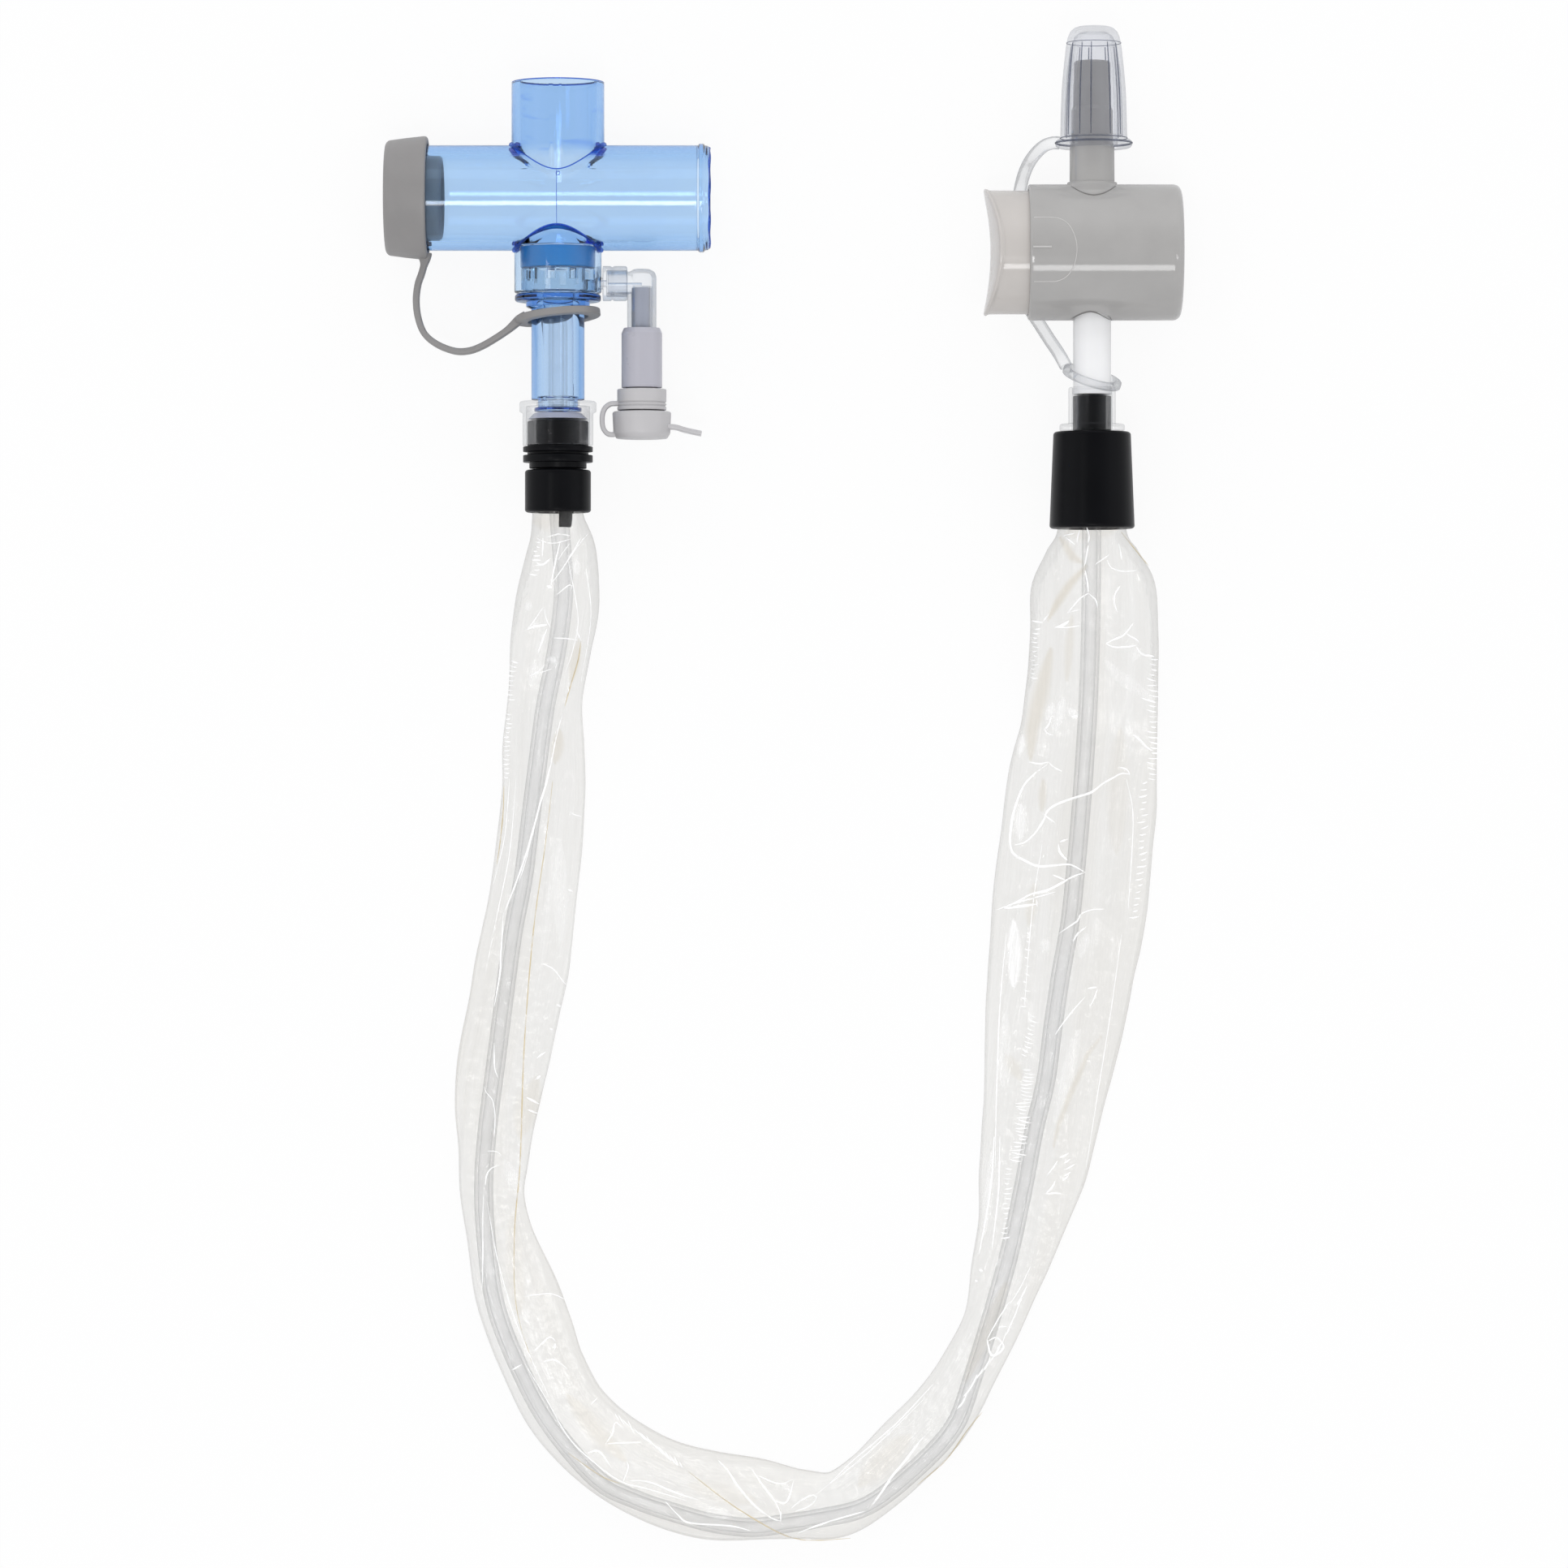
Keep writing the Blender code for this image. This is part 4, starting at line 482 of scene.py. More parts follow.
def turnedMesh(name, points, axis, centre, steps=96, soften=0.15, reshape=None, phase=0.0, stays=True):
    # spins an outline of (place along the axis, radius), mm, about an axis through centre
    closed = points[0][1] > 1e-6
    if closed:  # a ring: the corner at the seam is rounded too
        outline = softenProfile(points[-1:] + points + points[:1], soften)[1:-1]
    else:
        outline = softenProfile(points, soften)
    if stays:
        outline = addStays(outline)
    along = "xyz".index(axis)
    rings = []
    for spot, radius in outline:
        ring = []
        for step in range(1 if radius < 1e-6 else steps):
            angle = 2 * math.pi * (step + phase) / steps
            local = Vector((radius * math.cos(angle), radius * math.sin(angle), spot - centre[along]))
            if reshape:
                local = reshape(local, angle)
            if axis == "x":
                local = Vector((local.z, local.x, local.y))
            elif axis == "y":
                local = Vector((local.x, local.z, -local.y))
            ring.append(local + Vector(centre))
        rings.append(ring)
    return skinMesh(name, [rings], closed, False)


def turnedPiece(name, look, body, stands, axis, centre, steps, soften, points):
    return addPiece(name, turnedMesh(name, points, axis, centre, steps, soften), look, body, stands)


def cutMesh(mesh, joined, cuts):  # joins and then cuts helper solids, in order, and returns the result
    target = bpy.data.objects.new("workSolid", mesh)
    bpy.context.scene.collection.objects.link(target)
    helpers = []
    for operation, helperMesh in [("UNION", each) for each in joined] + [("DIFFERENCE", each) for each in cuts]:
        helper = bpy.data.objects.new("workTool", helperMesh)
        bpy.context.scene.collection.objects.link(helper)
        helpers.append(helper)
        cut = target.modifiers.new("cut%d" % len(helpers), "BOOLEAN")
        cut.operation = operation
        cut.solver = "EXACT"
        cut.object = helper
    bpy.context.view_layer.update()
    seen = target.evaluated_get(bpy.context.evaluated_depsgraph_get())
    made = bpy.data.meshes.new_from_object(seen)
    for spare in helpers + [target]:
        bpy.data.objects.remove(spare, do_unlink=True)
    return smoothMesh(made, 30)


def toolMesh(points, axis, centre, steps, phase, soften=0):
    return turnedMesh("tool", points, axis, centre, steps, soften, None, phase, False)


def rodMesh(start, end, radius, axis, centre, steps=96, phase=0.0):
    return toolMesh([(start, 0), (start, radius), (end, radius), (end, 0)], axis, centre, steps, phase)


def smoothLine(points, count):  # even points on a smooth curve through the given ones
    points = np.array(points, float)
    padded = np.vstack([2 * points[0] - points[1], points, 2 * points[-1] - points[-2]])
    dense = []
    for index in range(1, len(padded) - 2):
        p0, p1, p2, p3 = padded[index - 1:index + 3]
        for t in np.linspace(0, 1, 24, endpoint=False):
            dense.append(0.5 * (2 * p1 + (p2 - p0) * t + (2 * p0 - 5 * p1 + 4 * p2 - p3) * t ** 2
                                + (3 * p1 - p0 - 3 * p2 + p3) * t ** 3))
    dense = np.array(dense + [points[-1]])
    run = np.concatenate([[0], np.cumsum(np.linalg.norm(np.diff(dense[:, :3], axis=0), axis=1))])
    wanted = np.linspace(0, run[-1], count)
    return np.stack([np.interp(wanted, run, dense[:, k]) for k in range(points.shape[1])], axis=1)


def bandMesh(name, line, widthAxes, width, thickness, edge=0.3, corners=3, taper=None):
    # a soft-edged flat band along a line, mm
    rings = []
    for index, point in enumerate(line):
        forward = heading(line, index)
        across = Vector(widthAxes[index])
        across = (across - forward * across.dot(forward)).normalized()
        normal = forward.cross(across)
        wide, thick = (width, thickness) if taper is None else taper(index / (len(line) - 1))
        soft = min(edge, 0.49 * thick)
        ring = []
        for cx, cy, start in ((1, 1, 0), (-1, 1, 90), (-1, -1, 180), (1, -1, 270)):
            for step in range(corners + 1):
                angle = math.radians(start + 90 * step / corners)
                u = cx * (wide / 2 - soft) + soft * math.cos(angle)
                v = cy * (thick / 2 - soft) + soft * math.sin(angle)
                ring.append(Vector(point) + across * u + normal * v)
        rings.append(ring)
    return skinMesh(name, [rings])


def beadMesh(name, rows, sides=6, flat=1.0, up=(0, 0, 1)):
    # thin beads: each row is a line of points and a radius for each point, mm, or one radius
    parts = []
    for line, radii in rows:
        rings = []
        for index, point in enumerate(line):
            forward = heading(line, index)
            side = forward.cross(Vector(up))
            side = side.normalized() if side.length > 1e-4 else Vector((1, 0, 0))
            radius = radii if isinstance(radii, float) else radii[index]
            rings.append(roundRing(point, side, side.cross(forward), radius, sides, flat))
        parts.append(rings)
    return skinMesh(name, parts, angle=60)


def ringLine(centre, radius, axis, count=97):  # a closed circle, as a line of points
    made = []
    for step in range(count):
        a = 2 * math.pi * step / (count - 1)
        spot = [radius * math.cos(a), radius * math.sin(a)]
        spot.insert("xyz".index(axis), 0)
        made.append(tuple(here + there for here, there in zip(centre, spot)))
    return made


# catheter
catheter = {
    "diameter": 0.004, "wall": 0.75, "points": 260,
    "line": [(*spot, *[0.0029] * (3 - len(spot))) for spot in (  # from the tip in the neck to the valve, m
        (-0.0473, 0.0971, 0.0129), (-0.0473, 0.08, 0.0129), (-0.0473, 0.068, 0.0129), (-0.0471, 0.057, 0.0129),
        (-0.0462, 0.041, 0.0103), (-0.0477, 0.0284, 0.0074), (-0.0502, 0.0164, 0.0049), (-0.0519, 0.0043, 0.0034),
        (-0.0535, -0.0081, 0.00295), (-0.055, -0.0202), (-0.0573, -0.0326), (-0.0603, -0.0555), (-0.0626, -0.0737),
        (-0.0633, -0.0857), (-0.0626, -0.0977), (-0.0608, -0.1099), (-0.0563, -0.1219), (-0.0496, -0.1345),
        (-0.0394, -0.1465), (-0.0312, -0.1508), (-0.023, -0.1536), (-0.0149, -0.1558), (-0.0067, -0.1567),
        (0.0, -0.1559), (0.0076, -0.1547), (0.017, -0.1524), (0.0259, -0.146), (0.0354, -0.1361), (0.0397, -0.1253),
        (0.0468, -0.1015), (0.0505, -0.0848), (0.0526, -0.0735), (0.0552, -0.0624), (0.0567, -0.0511),
        (0.0584, -0.0398), (0.0603, -0.029), (0.0615, -0.0178), (0.0625, -0.0065, 0.0031), (0.0633, 0.0048, 0.004),
        (0.0639, 0.016, 0.0062), (0.0642, 0.0273, 0.0093), (0.0643, 0.0386, 0.0123), (0.0643, 0.05, 0.014),
        (0.0644, 0.062, 0.0142), (0.0644, 0.08, 0.0142), (0.0644, 0.0965, 0.0142),
    )],
}


def tubeMesh(name, line, outer, inner, sides=24):
    # a hollow round tube along a line, mm, with softly rounded ends
    side = Vector((1, 0, 0))
    skins = [[], []]
    for index, point in enumerate(line):
        forward = heading(line, index)
        side = (side - forward * side.dot(forward)).normalized()
        atEnd = index in (0, len(line) - 1)
        for skin, radius in zip(skins, (outer - 0.18 if atEnd else outer, inner)):
            skin.append(roundRing(point, side, forward.cross(side), radius, sides))
    return skinMesh(name, [skins[0] + skins[1][::-1]], True, False, 50)


catheterLine = smoothLine(np.array(catheter["line"]) * 1000, catheter["points"])
catheterPiece = addPiece("suctionCatheter", tubeMesh("suctionCatheter", catheterLine, 2.0, 2.0 - catheter["wall"]),
                         "catheterClear", "valve", ["catheter_tube"])
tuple(catheter["line"][0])

# film sleeve
filmSleeve = {
    "rings": 860, "top": 96, "under": 18, "lowHeight": 2.9,  # low height where the film lies on the table
    "run": [  # middle line, half width, and, off the table, half height and height of the middle, mm, front to rear
        (-47.3, 64.0, 5.4, 5.4, 12.9), (-47.3, 56.0, 5.4, 5.4, 12.9), (-46.6, 48.6, 7.3, 5.1, 11.9),
        (-47.5, 38.4, 8.8, 4.6, 9.6), (-49.2, 28.2, 8.5, 4.0, 7.0), (-50.4, 18.2, 7.9, 3.5, 4.9),
        (-50.8, 7.9, 8.6, 3.1, 3.5), (-50.8, -2.4, 8.8), (-51.8, -14.4, 9.1), (-53.1, -24.7, 9.3),
        (-55.0, -36.7, 9.9), (-57.0, -47.0, 9.7), (-59.0, -57.3, 9.7), (-60.7, -67.5, 8.9), (-61.2, -77.8, 7.5),
        (-61.6, -86.4, 6.8), (-60.0, -95.0, 7.0), (-57.2, -105.0, 8.6), (-53.6, -115.2, 9.0), (-50.2, -124.2, 8.6),
        (-45.0, -133.4, 8.6), (-36.2, -141.6, 8.9), (-26.6, -147.0, 9.2), (-16.4, -150.0, 9.4), (-6.2, -150.9, 8.7),
        (3.3, -152.0, 7.4), (11.2, -152.0, 7.0), (18.7, -147.4, 7.0), (26.4, -140.1, 7.3), (33.2, -132.9, 7.0),
        (38.8, -123.8, 6.2), (43.9, -113.8, 6.2), (47.0, -103.5, 7.7), (50.0, -93.3, 9.1), (52.2, -83.0, 11.2),
        (54.0, -72.7, 12.2), (55.4, -62.4, 13.3), (57.0, -50.4, 14.7), (58.7, -38.4, 15.5), (60.3, -24.7, 16.4),
        (61.9, -11.0, 16.2), (63.1, 1.0, 15.8, 3.1, 3.5), (64.4, 11.2, 14.5, 3.6, 5.2), (64.9, 21.6, 13.9, 4.2, 7.6),
        (65.0, 31.7, 13.4, 5.0, 10.3), (64.6, 41.8, 12.9, 6.0, 12.9), (64.4, 48.6, 9.6, 6.7, 14.0),
        (64.4, 54.0, 7.05, 7.05, 14.2), (64.4, 70.0, 7.05, 7.05, 14.2),
    ],
    "folds": 0.42, "crumple": 0.34,  # how strong each kind of crease is, mm
    "ragged": 0.02, "skin": 0.28,  # how uneven the edge is, and how far the film stays off the catheter
    "frontPleats": 0.75, "rearPleats": 0.9,  # at the two clamps
    "flat": (0.030, 0.462),
}


def markRows(head, rows):  # the leading numbers of each row stay, the rest become picture points
    return [(*row[:head], *zip(row[head::2], row[head + 1::2])) for row in rows]


# sharp folds, raised in the film and drawn over it as white beads that carry a painted highlight: width, then the
# places along each, all in picture points
foldLines = markRows(1, [
    (1.5, 662, 663, 672, 668, 685, 669, 703, 664), (1.5, 674, 662, 688, 658, 702, 660), (1.7, 669, 663, 669, 672, 668,
    686), (1.5, 690, 668, 685, 690, 681, 710, 679, 722), (1.4, 725, 657, 712, 672, 700, 690, 690, 705, 681, 717),
    (1.2, 716, 662, 708, 676, 700, 688), (1.0, 702, 670, 694, 680, 688, 690), (2.6, 678, 688, 668, 696, 660, 692),
    (3.2, 674, 722, 680, 724), (1.6, 686, 733, 695, 725, 704, 720, 704, 726), (1.4, 648, 776, 656, 768, 668, 750, 671,
    748), (3.0, 648, 776, 658, 772, 674, 770), (1.0, 671, 750, 673, 762, 678, 773), (1.8, 674, 775, 668, 790, 663,
    805), (1.4, 683, 786, 700, 787, 712, 789), (1.6, 710, 776, 713, 783, 716, 788), (1.6, 653, 833, 664, 827, 671,
    820), (1.2, 660, 831, 680, 824), (1.5, 701, 848, 699, 856), (2.3, 693, 880, 686, 905, 680, 935, 673, 965, 665,
    992, 655, 1030, 645, 1062, 635, 1090, 628, 1108, 620, 1128), (1.2, 655, 1032, 648, 1060, 640, 1085), (1.7, 620,
    1128, 619, 1150, 617, 1180, 616, 1200, 609, 1240), (1.2, 701, 1000, 706, 1003, 716, 1006), (2.6, 700, 1096, 705,
    1098), (1.2, 668, 1187, 682, 1194, 690, 1204, 697, 1213), (2.8, 686, 1238, 691, 1240), (2.8, 677, 1267, 682,
    1269), (2.4, 662, 1303, 672, 1296), (2.6, 660, 1330, 666, 1325), (2.4, 649, 1352, 664, 1360), (2.2, 650, 1367,
    663, 1372), (1.2, 609, 1285, 609, 1304, 610, 1318, 614, 1328), (1.0, 596, 1339, 600, 1347, 607, 1356, 610, 1375,
    609, 1400), (1.2, 601, 1418, 612, 1419, 618, 1424), (1.6, 598, 1460, 600, 1447, 606, 1439, 615, 1436), (1.2, 596,
    1470, 595, 1500, 595, 1550, 594, 1590), (1.6, 631, 1688, 643, 1681), (1.4, 647, 1597, 662, 1595, 680, 1594, 697,
    1601), (1.6, 658, 1665, 668, 1655, 678, 1647, 684, 1652), (2.8, 684, 1655, 683, 1663), (1.9, 670, 1678, 682, 1675,
    692, 1681, 699, 1687), (1.2, 728, 1731, 736, 1722), (1.6, 746, 1779, 755, 1765, 758, 1752, 768, 1760), (1.6, 746,
    1779, 760, 1778, 790, 1777), (2.0, 724, 1790, 738, 1788, 752, 1806), (1.4, 768, 1825, 774, 1808, 772, 1800), (1.3,
    648, 1682, 672, 1722, 700, 1770, 730, 1800, 765, 1825, 800, 1835, 850, 1850), (2.0, 776, 1824, 800, 1826, 830,
    1838, 860, 1848), (1.9, 820, 1850, 835, 1866, 850, 1876, 900, 1880, 925, 1886), (2.4, 885, 1799, 897, 1812, 910,
    1832, 930, 1855, 950, 1870, 962, 1874), (2.0, 962, 1874, 962, 1862), (2.0, 926, 1810, 940, 1830, 955, 1850, 963,
    1868), (1.5, 934, 1818, 960, 1828, 978, 1822), (2.2, 978, 1824, 972, 1845, 966, 1852, 953, 1848), (1.5, 975, 1858,
    985, 1850, 1000, 1842, 1006, 1846, 996, 1856, 980, 1862), (2.0, 980, 1890, 1000, 1882, 1030, 1872, 1065, 1862),
    (2.8, 1070, 1860, 1085, 1840, 1100, 1818, 1115, 1800, 1130, 1780, 1140, 1768), (1.4, 1020, 1830, 1050, 1800, 1080,
    1775, 1110, 1748, 1150, 1705), (1.0, 1004, 1842, 1050, 1806, 1090, 1771, 1140, 1722), (2.4, 1288, 1471, 1296,
    1463, 1300, 1455), (1.9, 1288, 1471, 1300, 1470, 1308, 1471), (1.6, 1290, 1448, 1298, 1438, 1303, 1430), (2.2,
    1225, 1400, 1222, 1450, 1215, 1500, 1206, 1545), (2.0, 1232, 1400, 1230, 1470, 1222, 1540), (3.2, 1206, 1564,
    1211, 1566), (3.2, 1201, 1577, 1205, 1579), (1.6, 1230, 1635, 1240, 1634), (2.8, 1216, 1650, 1222, 1670, 1236,
    1660, 1228, 1648, 1218, 1652), (1.8, 1243, 1605, 1230, 1625, 1216, 1650), (1.1, 1270, 1560, 1255, 1590, 1243,
    1608), (1.8, 1228, 1121, 1250, 1113, 1275, 1106, 1300, 1099), (1.5, 1277, 1108, 1278, 1117), (1.7, 1305, 1150,
    1318, 1141, 1328, 1134, 1332, 1126, 1345, 1121, 1360, 1120), (2.2, 1322, 1160, 1328, 1150, 1338, 1142), (2.0,
    1353, 1216, 1340, 1218), (1.4, 1353, 1216, 1348, 1230, 1343, 1240), (1.4, 1337, 1228, 1322, 1245, 1308, 1263,
    1300, 1275), (2.8, 1339, 650, 1342, 660, 1341, 668), (2.4, 1341, 672, 1338, 690, 1336, 697), (2.2, 1330, 653,
    1327, 668), (1.7, 1311, 660, 1324, 657), (1.5, 1313, 662, 1325, 671), (2.0, 1337, 703, 1340, 718, 1341, 730),
    (2.0, 1341, 731, 1330, 738, 1320, 750, 1315, 755), (1.5, 1315, 755, 1322, 753, 1330, 751), (1.6, 1341, 731, 1350,
    739, 1352, 748), (2.0, 1272, 765, 1285, 767), (1.5, 1285, 766, 1292, 757), (3.0, 1300, 773, 1310, 770, 1317, 765),
    (1.5, 1300, 773, 1315, 773, 1330, 771), (1.8, 1380, 722, 1374, 732, 1373, 742, 1377, 755), (2.0, 1396, 768, 1385,
    782, 1370, 789, 1363, 793), (2.3, 1363, 793, 1372, 797, 1388, 797, 1400, 795), (2.0, 1388, 781, 1400, 788, 1404,
    793), (3.0, 1400, 797, 1408, 806, 1422, 809), (1.5, 1364, 690, 1370, 700, 1385, 704, 1400, 703), (1.5, 1366, 684,
    1350, 695), (1.5, 1378, 670, 1382, 690), (1.6, 1406, 860, 1424, 866), (1.6, 1286, 896, 1290, 903, 1298, 906),
    (2.5, 1296, 882, 1292, 893, 1286, 900), (3.2, 1320, 883, 1328, 883), (2.0, 1268, 939, 1280, 941, 1292, 939), (1.5,
    1292, 939, 1298, 945, 1308, 950), (3.0, 1290, 942, 1275, 953, 1262, 967, 1254, 985, 1248, 1005, 1245, 1025, 1245,
    1042, 1249, 1052, 1262, 1060, 1278, 1067, 1292, 1067, 1315, 1065, 1325, 1068, 1337, 1075), (2.7, 1337, 1075, 1322,
    1080, 1308, 1088, 1290, 1097, 1270, 1102, 1255, 1110, 1237, 1119), (3.4, 1237, 1119, 1255, 1117, 1277, 1114),
    (2.7, 1392, 954, 1382, 953, 1372, 958, 1358, 966, 1345, 976, 1330, 981, 1315, 986, 1300, 992, 1290, 1000, 1287,
    1008, 1280, 1020, 1272, 1030, 1262, 1038, 1250, 1041), (1.8, 1378, 945, 1388, 948, 1392, 954), (2.0, 1285, 1003,
    1292, 1008, 1300, 1014), (2.4, 1304, 1038, 1315, 1034), (3.0, 1304, 1040, 1306, 1050, 1315, 1060), (2.0, 1297,
    1078, 1312, 1084), (2.6, 1396, 905, 1405, 912, 1412, 920, 1420, 925), (1.0, 700, 690, 712, 760, 706, 800, 696,
    830), (0.9, 722, 700, 728, 760, 716, 840), (1.0, 628, 960, 622, 1030, 608, 1090), (0.9, 636, 960, 628, 1050, 612,
    1130, 598, 1200), (0.9, 1262, 1240, 1272, 1120, 1284, 1040), (1.0, 1390, 1120, 1396, 1010, 1388, 960), (0.9, 1338,
    1440, 1352, 1350, 1368, 1250, 1382, 1150), (1.2, 1226, 1440, 1228, 1340, 1232, 1240, 1240, 1150), (1.0, 600, 1480,
    615, 1560, 640, 1640, 676, 1720),
])
# welded seams and doubled strips, warmer in colour: width and places in picture points
seamLines = markRows(1, [
    (1.5, 681, 963, 672, 1040, 657, 1150, 646, 1290, 641, 1431, 634, 1519, 636, 1607, 655, 1678), (1.5, 847, 1812,
    905, 1856, 968, 1892, 1006, 1898, 1048, 1895), (1.4, 621, 968, 620, 1000, 616, 1040, 612, 1065), (1.6, 716, 790,
    712, 815, 703, 845, 696, 870), (1.4, 1381, 656, 1395, 674, 1415, 697), (1.4, 1210, 1740, 1190, 1765, 1165, 1800,
    1130, 1830), (1.2, 700, 1790, 740, 1818, 765, 1828),
])
# rows of short crimps: spacing, length, slant in degrees and places in picture points
crimpLines = markRows(3, [
    (6.0, 9, 8, 1420, 812, 1420, 860, 1421, 905, 1420, 960), (7.5, 8, -14, 1409, 965, 1407, 1060, 1398, 1130), (4.2,
    12, 4, 1266, 1318, 1262, 1370, 1252, 1430), (5.5, 7, 0, 1243, 1440, 1241, 1480, 1238, 1525), (6.0, 13, -62, 1262,
    1590, 1245, 1632, 1226, 1668, 1200, 1702, 1184, 1730), (6.5, 12, 55, 760, 1745, 786, 1764, 812, 1785, 840, 1806),
    (4.6, 8, 3, 664, 690, 661, 700, 658, 708), (4.2, 6, 6, 663, 668, 661, 680, 659, 690), (5.0, 6, 2, 627, 880, 625,
    920, 625, 958), (5.0, 7, 10, 633, 815, 630, 840, 629, 862), (5.5, 10, -35, 1310, 1424, 1318, 1440, 1312, 1452),
    (4.5, 9, 20, 1272, 1252, 1268, 1275, 1262, 1300), (5.0, 6, 4, 1277, 775, 1275, 800, 1273, 835), (9.0, 6, 10, 1268,
    1150, 1262, 1240),
])
# soft broad places: the strength of a painted highlight (or of warmth), half width and places in picture points
paintedSheenPlaces = markRows(2, [
    (0.9, 9, 1249, 1135, 1251, 1175, 1249, 1215), (0.6, 7, 1257, 990, 1258, 1035), (0.55, 5, 1260, 905, 1257, 930),
    (0.55, 6, 1296, 868, 1290, 888), (0.5, 6, 1315, 876, 1328, 882), (0.4, 8, 1360, 815, 1375, 832, 1395, 845, 1420,
    862), (0.5, 6, 1292, 1160, 1286, 1172), (0.6, 8, 966, 1836, 972, 1830), (0.65, 5, 664, 768, 658, 773), (0.5, 6,
    712, 692, 714, 710), (0.5, 5, 650, 752, 656, 744), (0.35, 7, 660, 815, 655, 845), (0.6, 4, 675, 813, 688, 815),
    (0.3, 10, 690, 1040, 690, 1160), (0.35, 9, 1330, 1270, 1300, 1380), (0.35, 8, 1240, 1250, 1236, 1340), (0.5, 7,
    1310, 860, 1300, 900), (0.4, 6, 1400, 800, 1395, 815), (0.4, 9, 640, 1470, 622, 1430), (0.4, 8, 870, 1862, 900,
    1868), (0.45, 7, 1340, 1150, 1330, 1180), (0.45, 6, 1222, 1420, 1214, 1520),
])
warmPlaces = markRows(2, [
    (0.55, 5, 1303, 665, 1318, 690, 1331, 697), (0.7, 5, 1335, 700, 1315, 722, 1300, 745, 1289, 765), (0.55, 9, 1293,
    800, 1283, 850, 1272, 900, 1270, 935), (0.35, 5, 1318, 760, 1315, 800, 1313, 840), (0.45, 5, 1286, 960, 1284,
    1000), (0.3, 7, 1275, 1090, 1268, 1140), (0.5, 4, 1358, 1277, 1340, 1300, 1330, 1325, 1318, 1350, 1305, 1385,
    1298, 1415), (0.5, 7, 690, 900, 684, 940), (0.45, 6, 714, 790, 704, 840), (0.3, 14, 700, 640, 660, 645), (0.35,
    12, 700, 1720, 740, 1770, 770, 1800), (0.3, 14, 660, 1330, 640, 1400), (0.25, 12, 630, 1500, 640, 1620), (0.25,
    16, 1120, 1770, 1060, 1830), (0.35, 9, 1240, 1580, 1215, 1640, 1190, 1700), (0.25, 14, 850, 1830, 930, 1850),
    (0.3, 8, 1258, 1330, 1240, 1300), (0.2, 14, 1380, 900, 1376, 1050), (0.25, 12, 1310, 660, 1370, 655),
])


def hashGrid(ix, iy, seed):
    wave = np.sin(ix * 127.1 + iy * 311.7 + seed * 74.7) * 43758.5453
    return wave - np.floor(wave)


def softNoise(x, y, seed):  # smooth values from 0 to 1
    ix, iy = np.floor(x), np.floor(y)
    fx, fy = x - ix, y - iy
    fx, fy = fx * fx * (3 - 2 * fx), fy * fy * (3 - 2 * fy)
    top = hashGrid(ix, iy, seed) * (1 - fx) + hashGrid(ix + 1, iy, seed) * fx
    low = hashGrid(ix, iy + 1, seed) * (1 - fx) + hashGrid(ix + 1, iy + 1, seed) * fx
    return top * (1 - fy) + low * fy


def sharpFolds(x, y, seed, power=3.0):  # thin crests from 0 to 1
    return (1 - np.abs(2 * softNoise(x, y, seed) - 1)) ** power


def tablePoints(marks):  # picture points to places on the film, mm
    return [pxPoint(px, py, 5.0)[:2] for px, py in marks]


def lineDistance(x, y, line):  # distance to a line of points, counted larger towards its two ends
    best = np.full(x.shape, 1e9)
    total = sum(math.hypot(bx - ax, by - ay) for (ax, ay), (bx, by) in zip(line, line[1:]))
    start = 0.0
    for (ax, ay), (bx, by) in zip(line, line[1:]):
        length = math.hypot(bx - ax, by - ay)
        t = np.clip(((x - ax) * (bx - ax) + (y - ay) * (by - ay)) / length ** 2, 0, 1)
        gap = np.hypot(x - ax - t * (bx - ax), y - ay - t * (by - ay))
        share = np.clip((start + t * length) / total, 0, 1)
        best = np.minimum(best, gap / (0.2 + 0.8 * np.sin(np.pi * share) ** 0.7))
        start += length
    return best


def smoothStep(low, high, value):
    t = np.clip((value - low) / (high - low), 0, 1)
    return t * t * (3 - 2 * t)


def closeAtEdges(even):  # places across the film, with close steps near both edges
    return (0.45 * even + 0.55 * np.sin(even * math.pi / 2))[None, :]


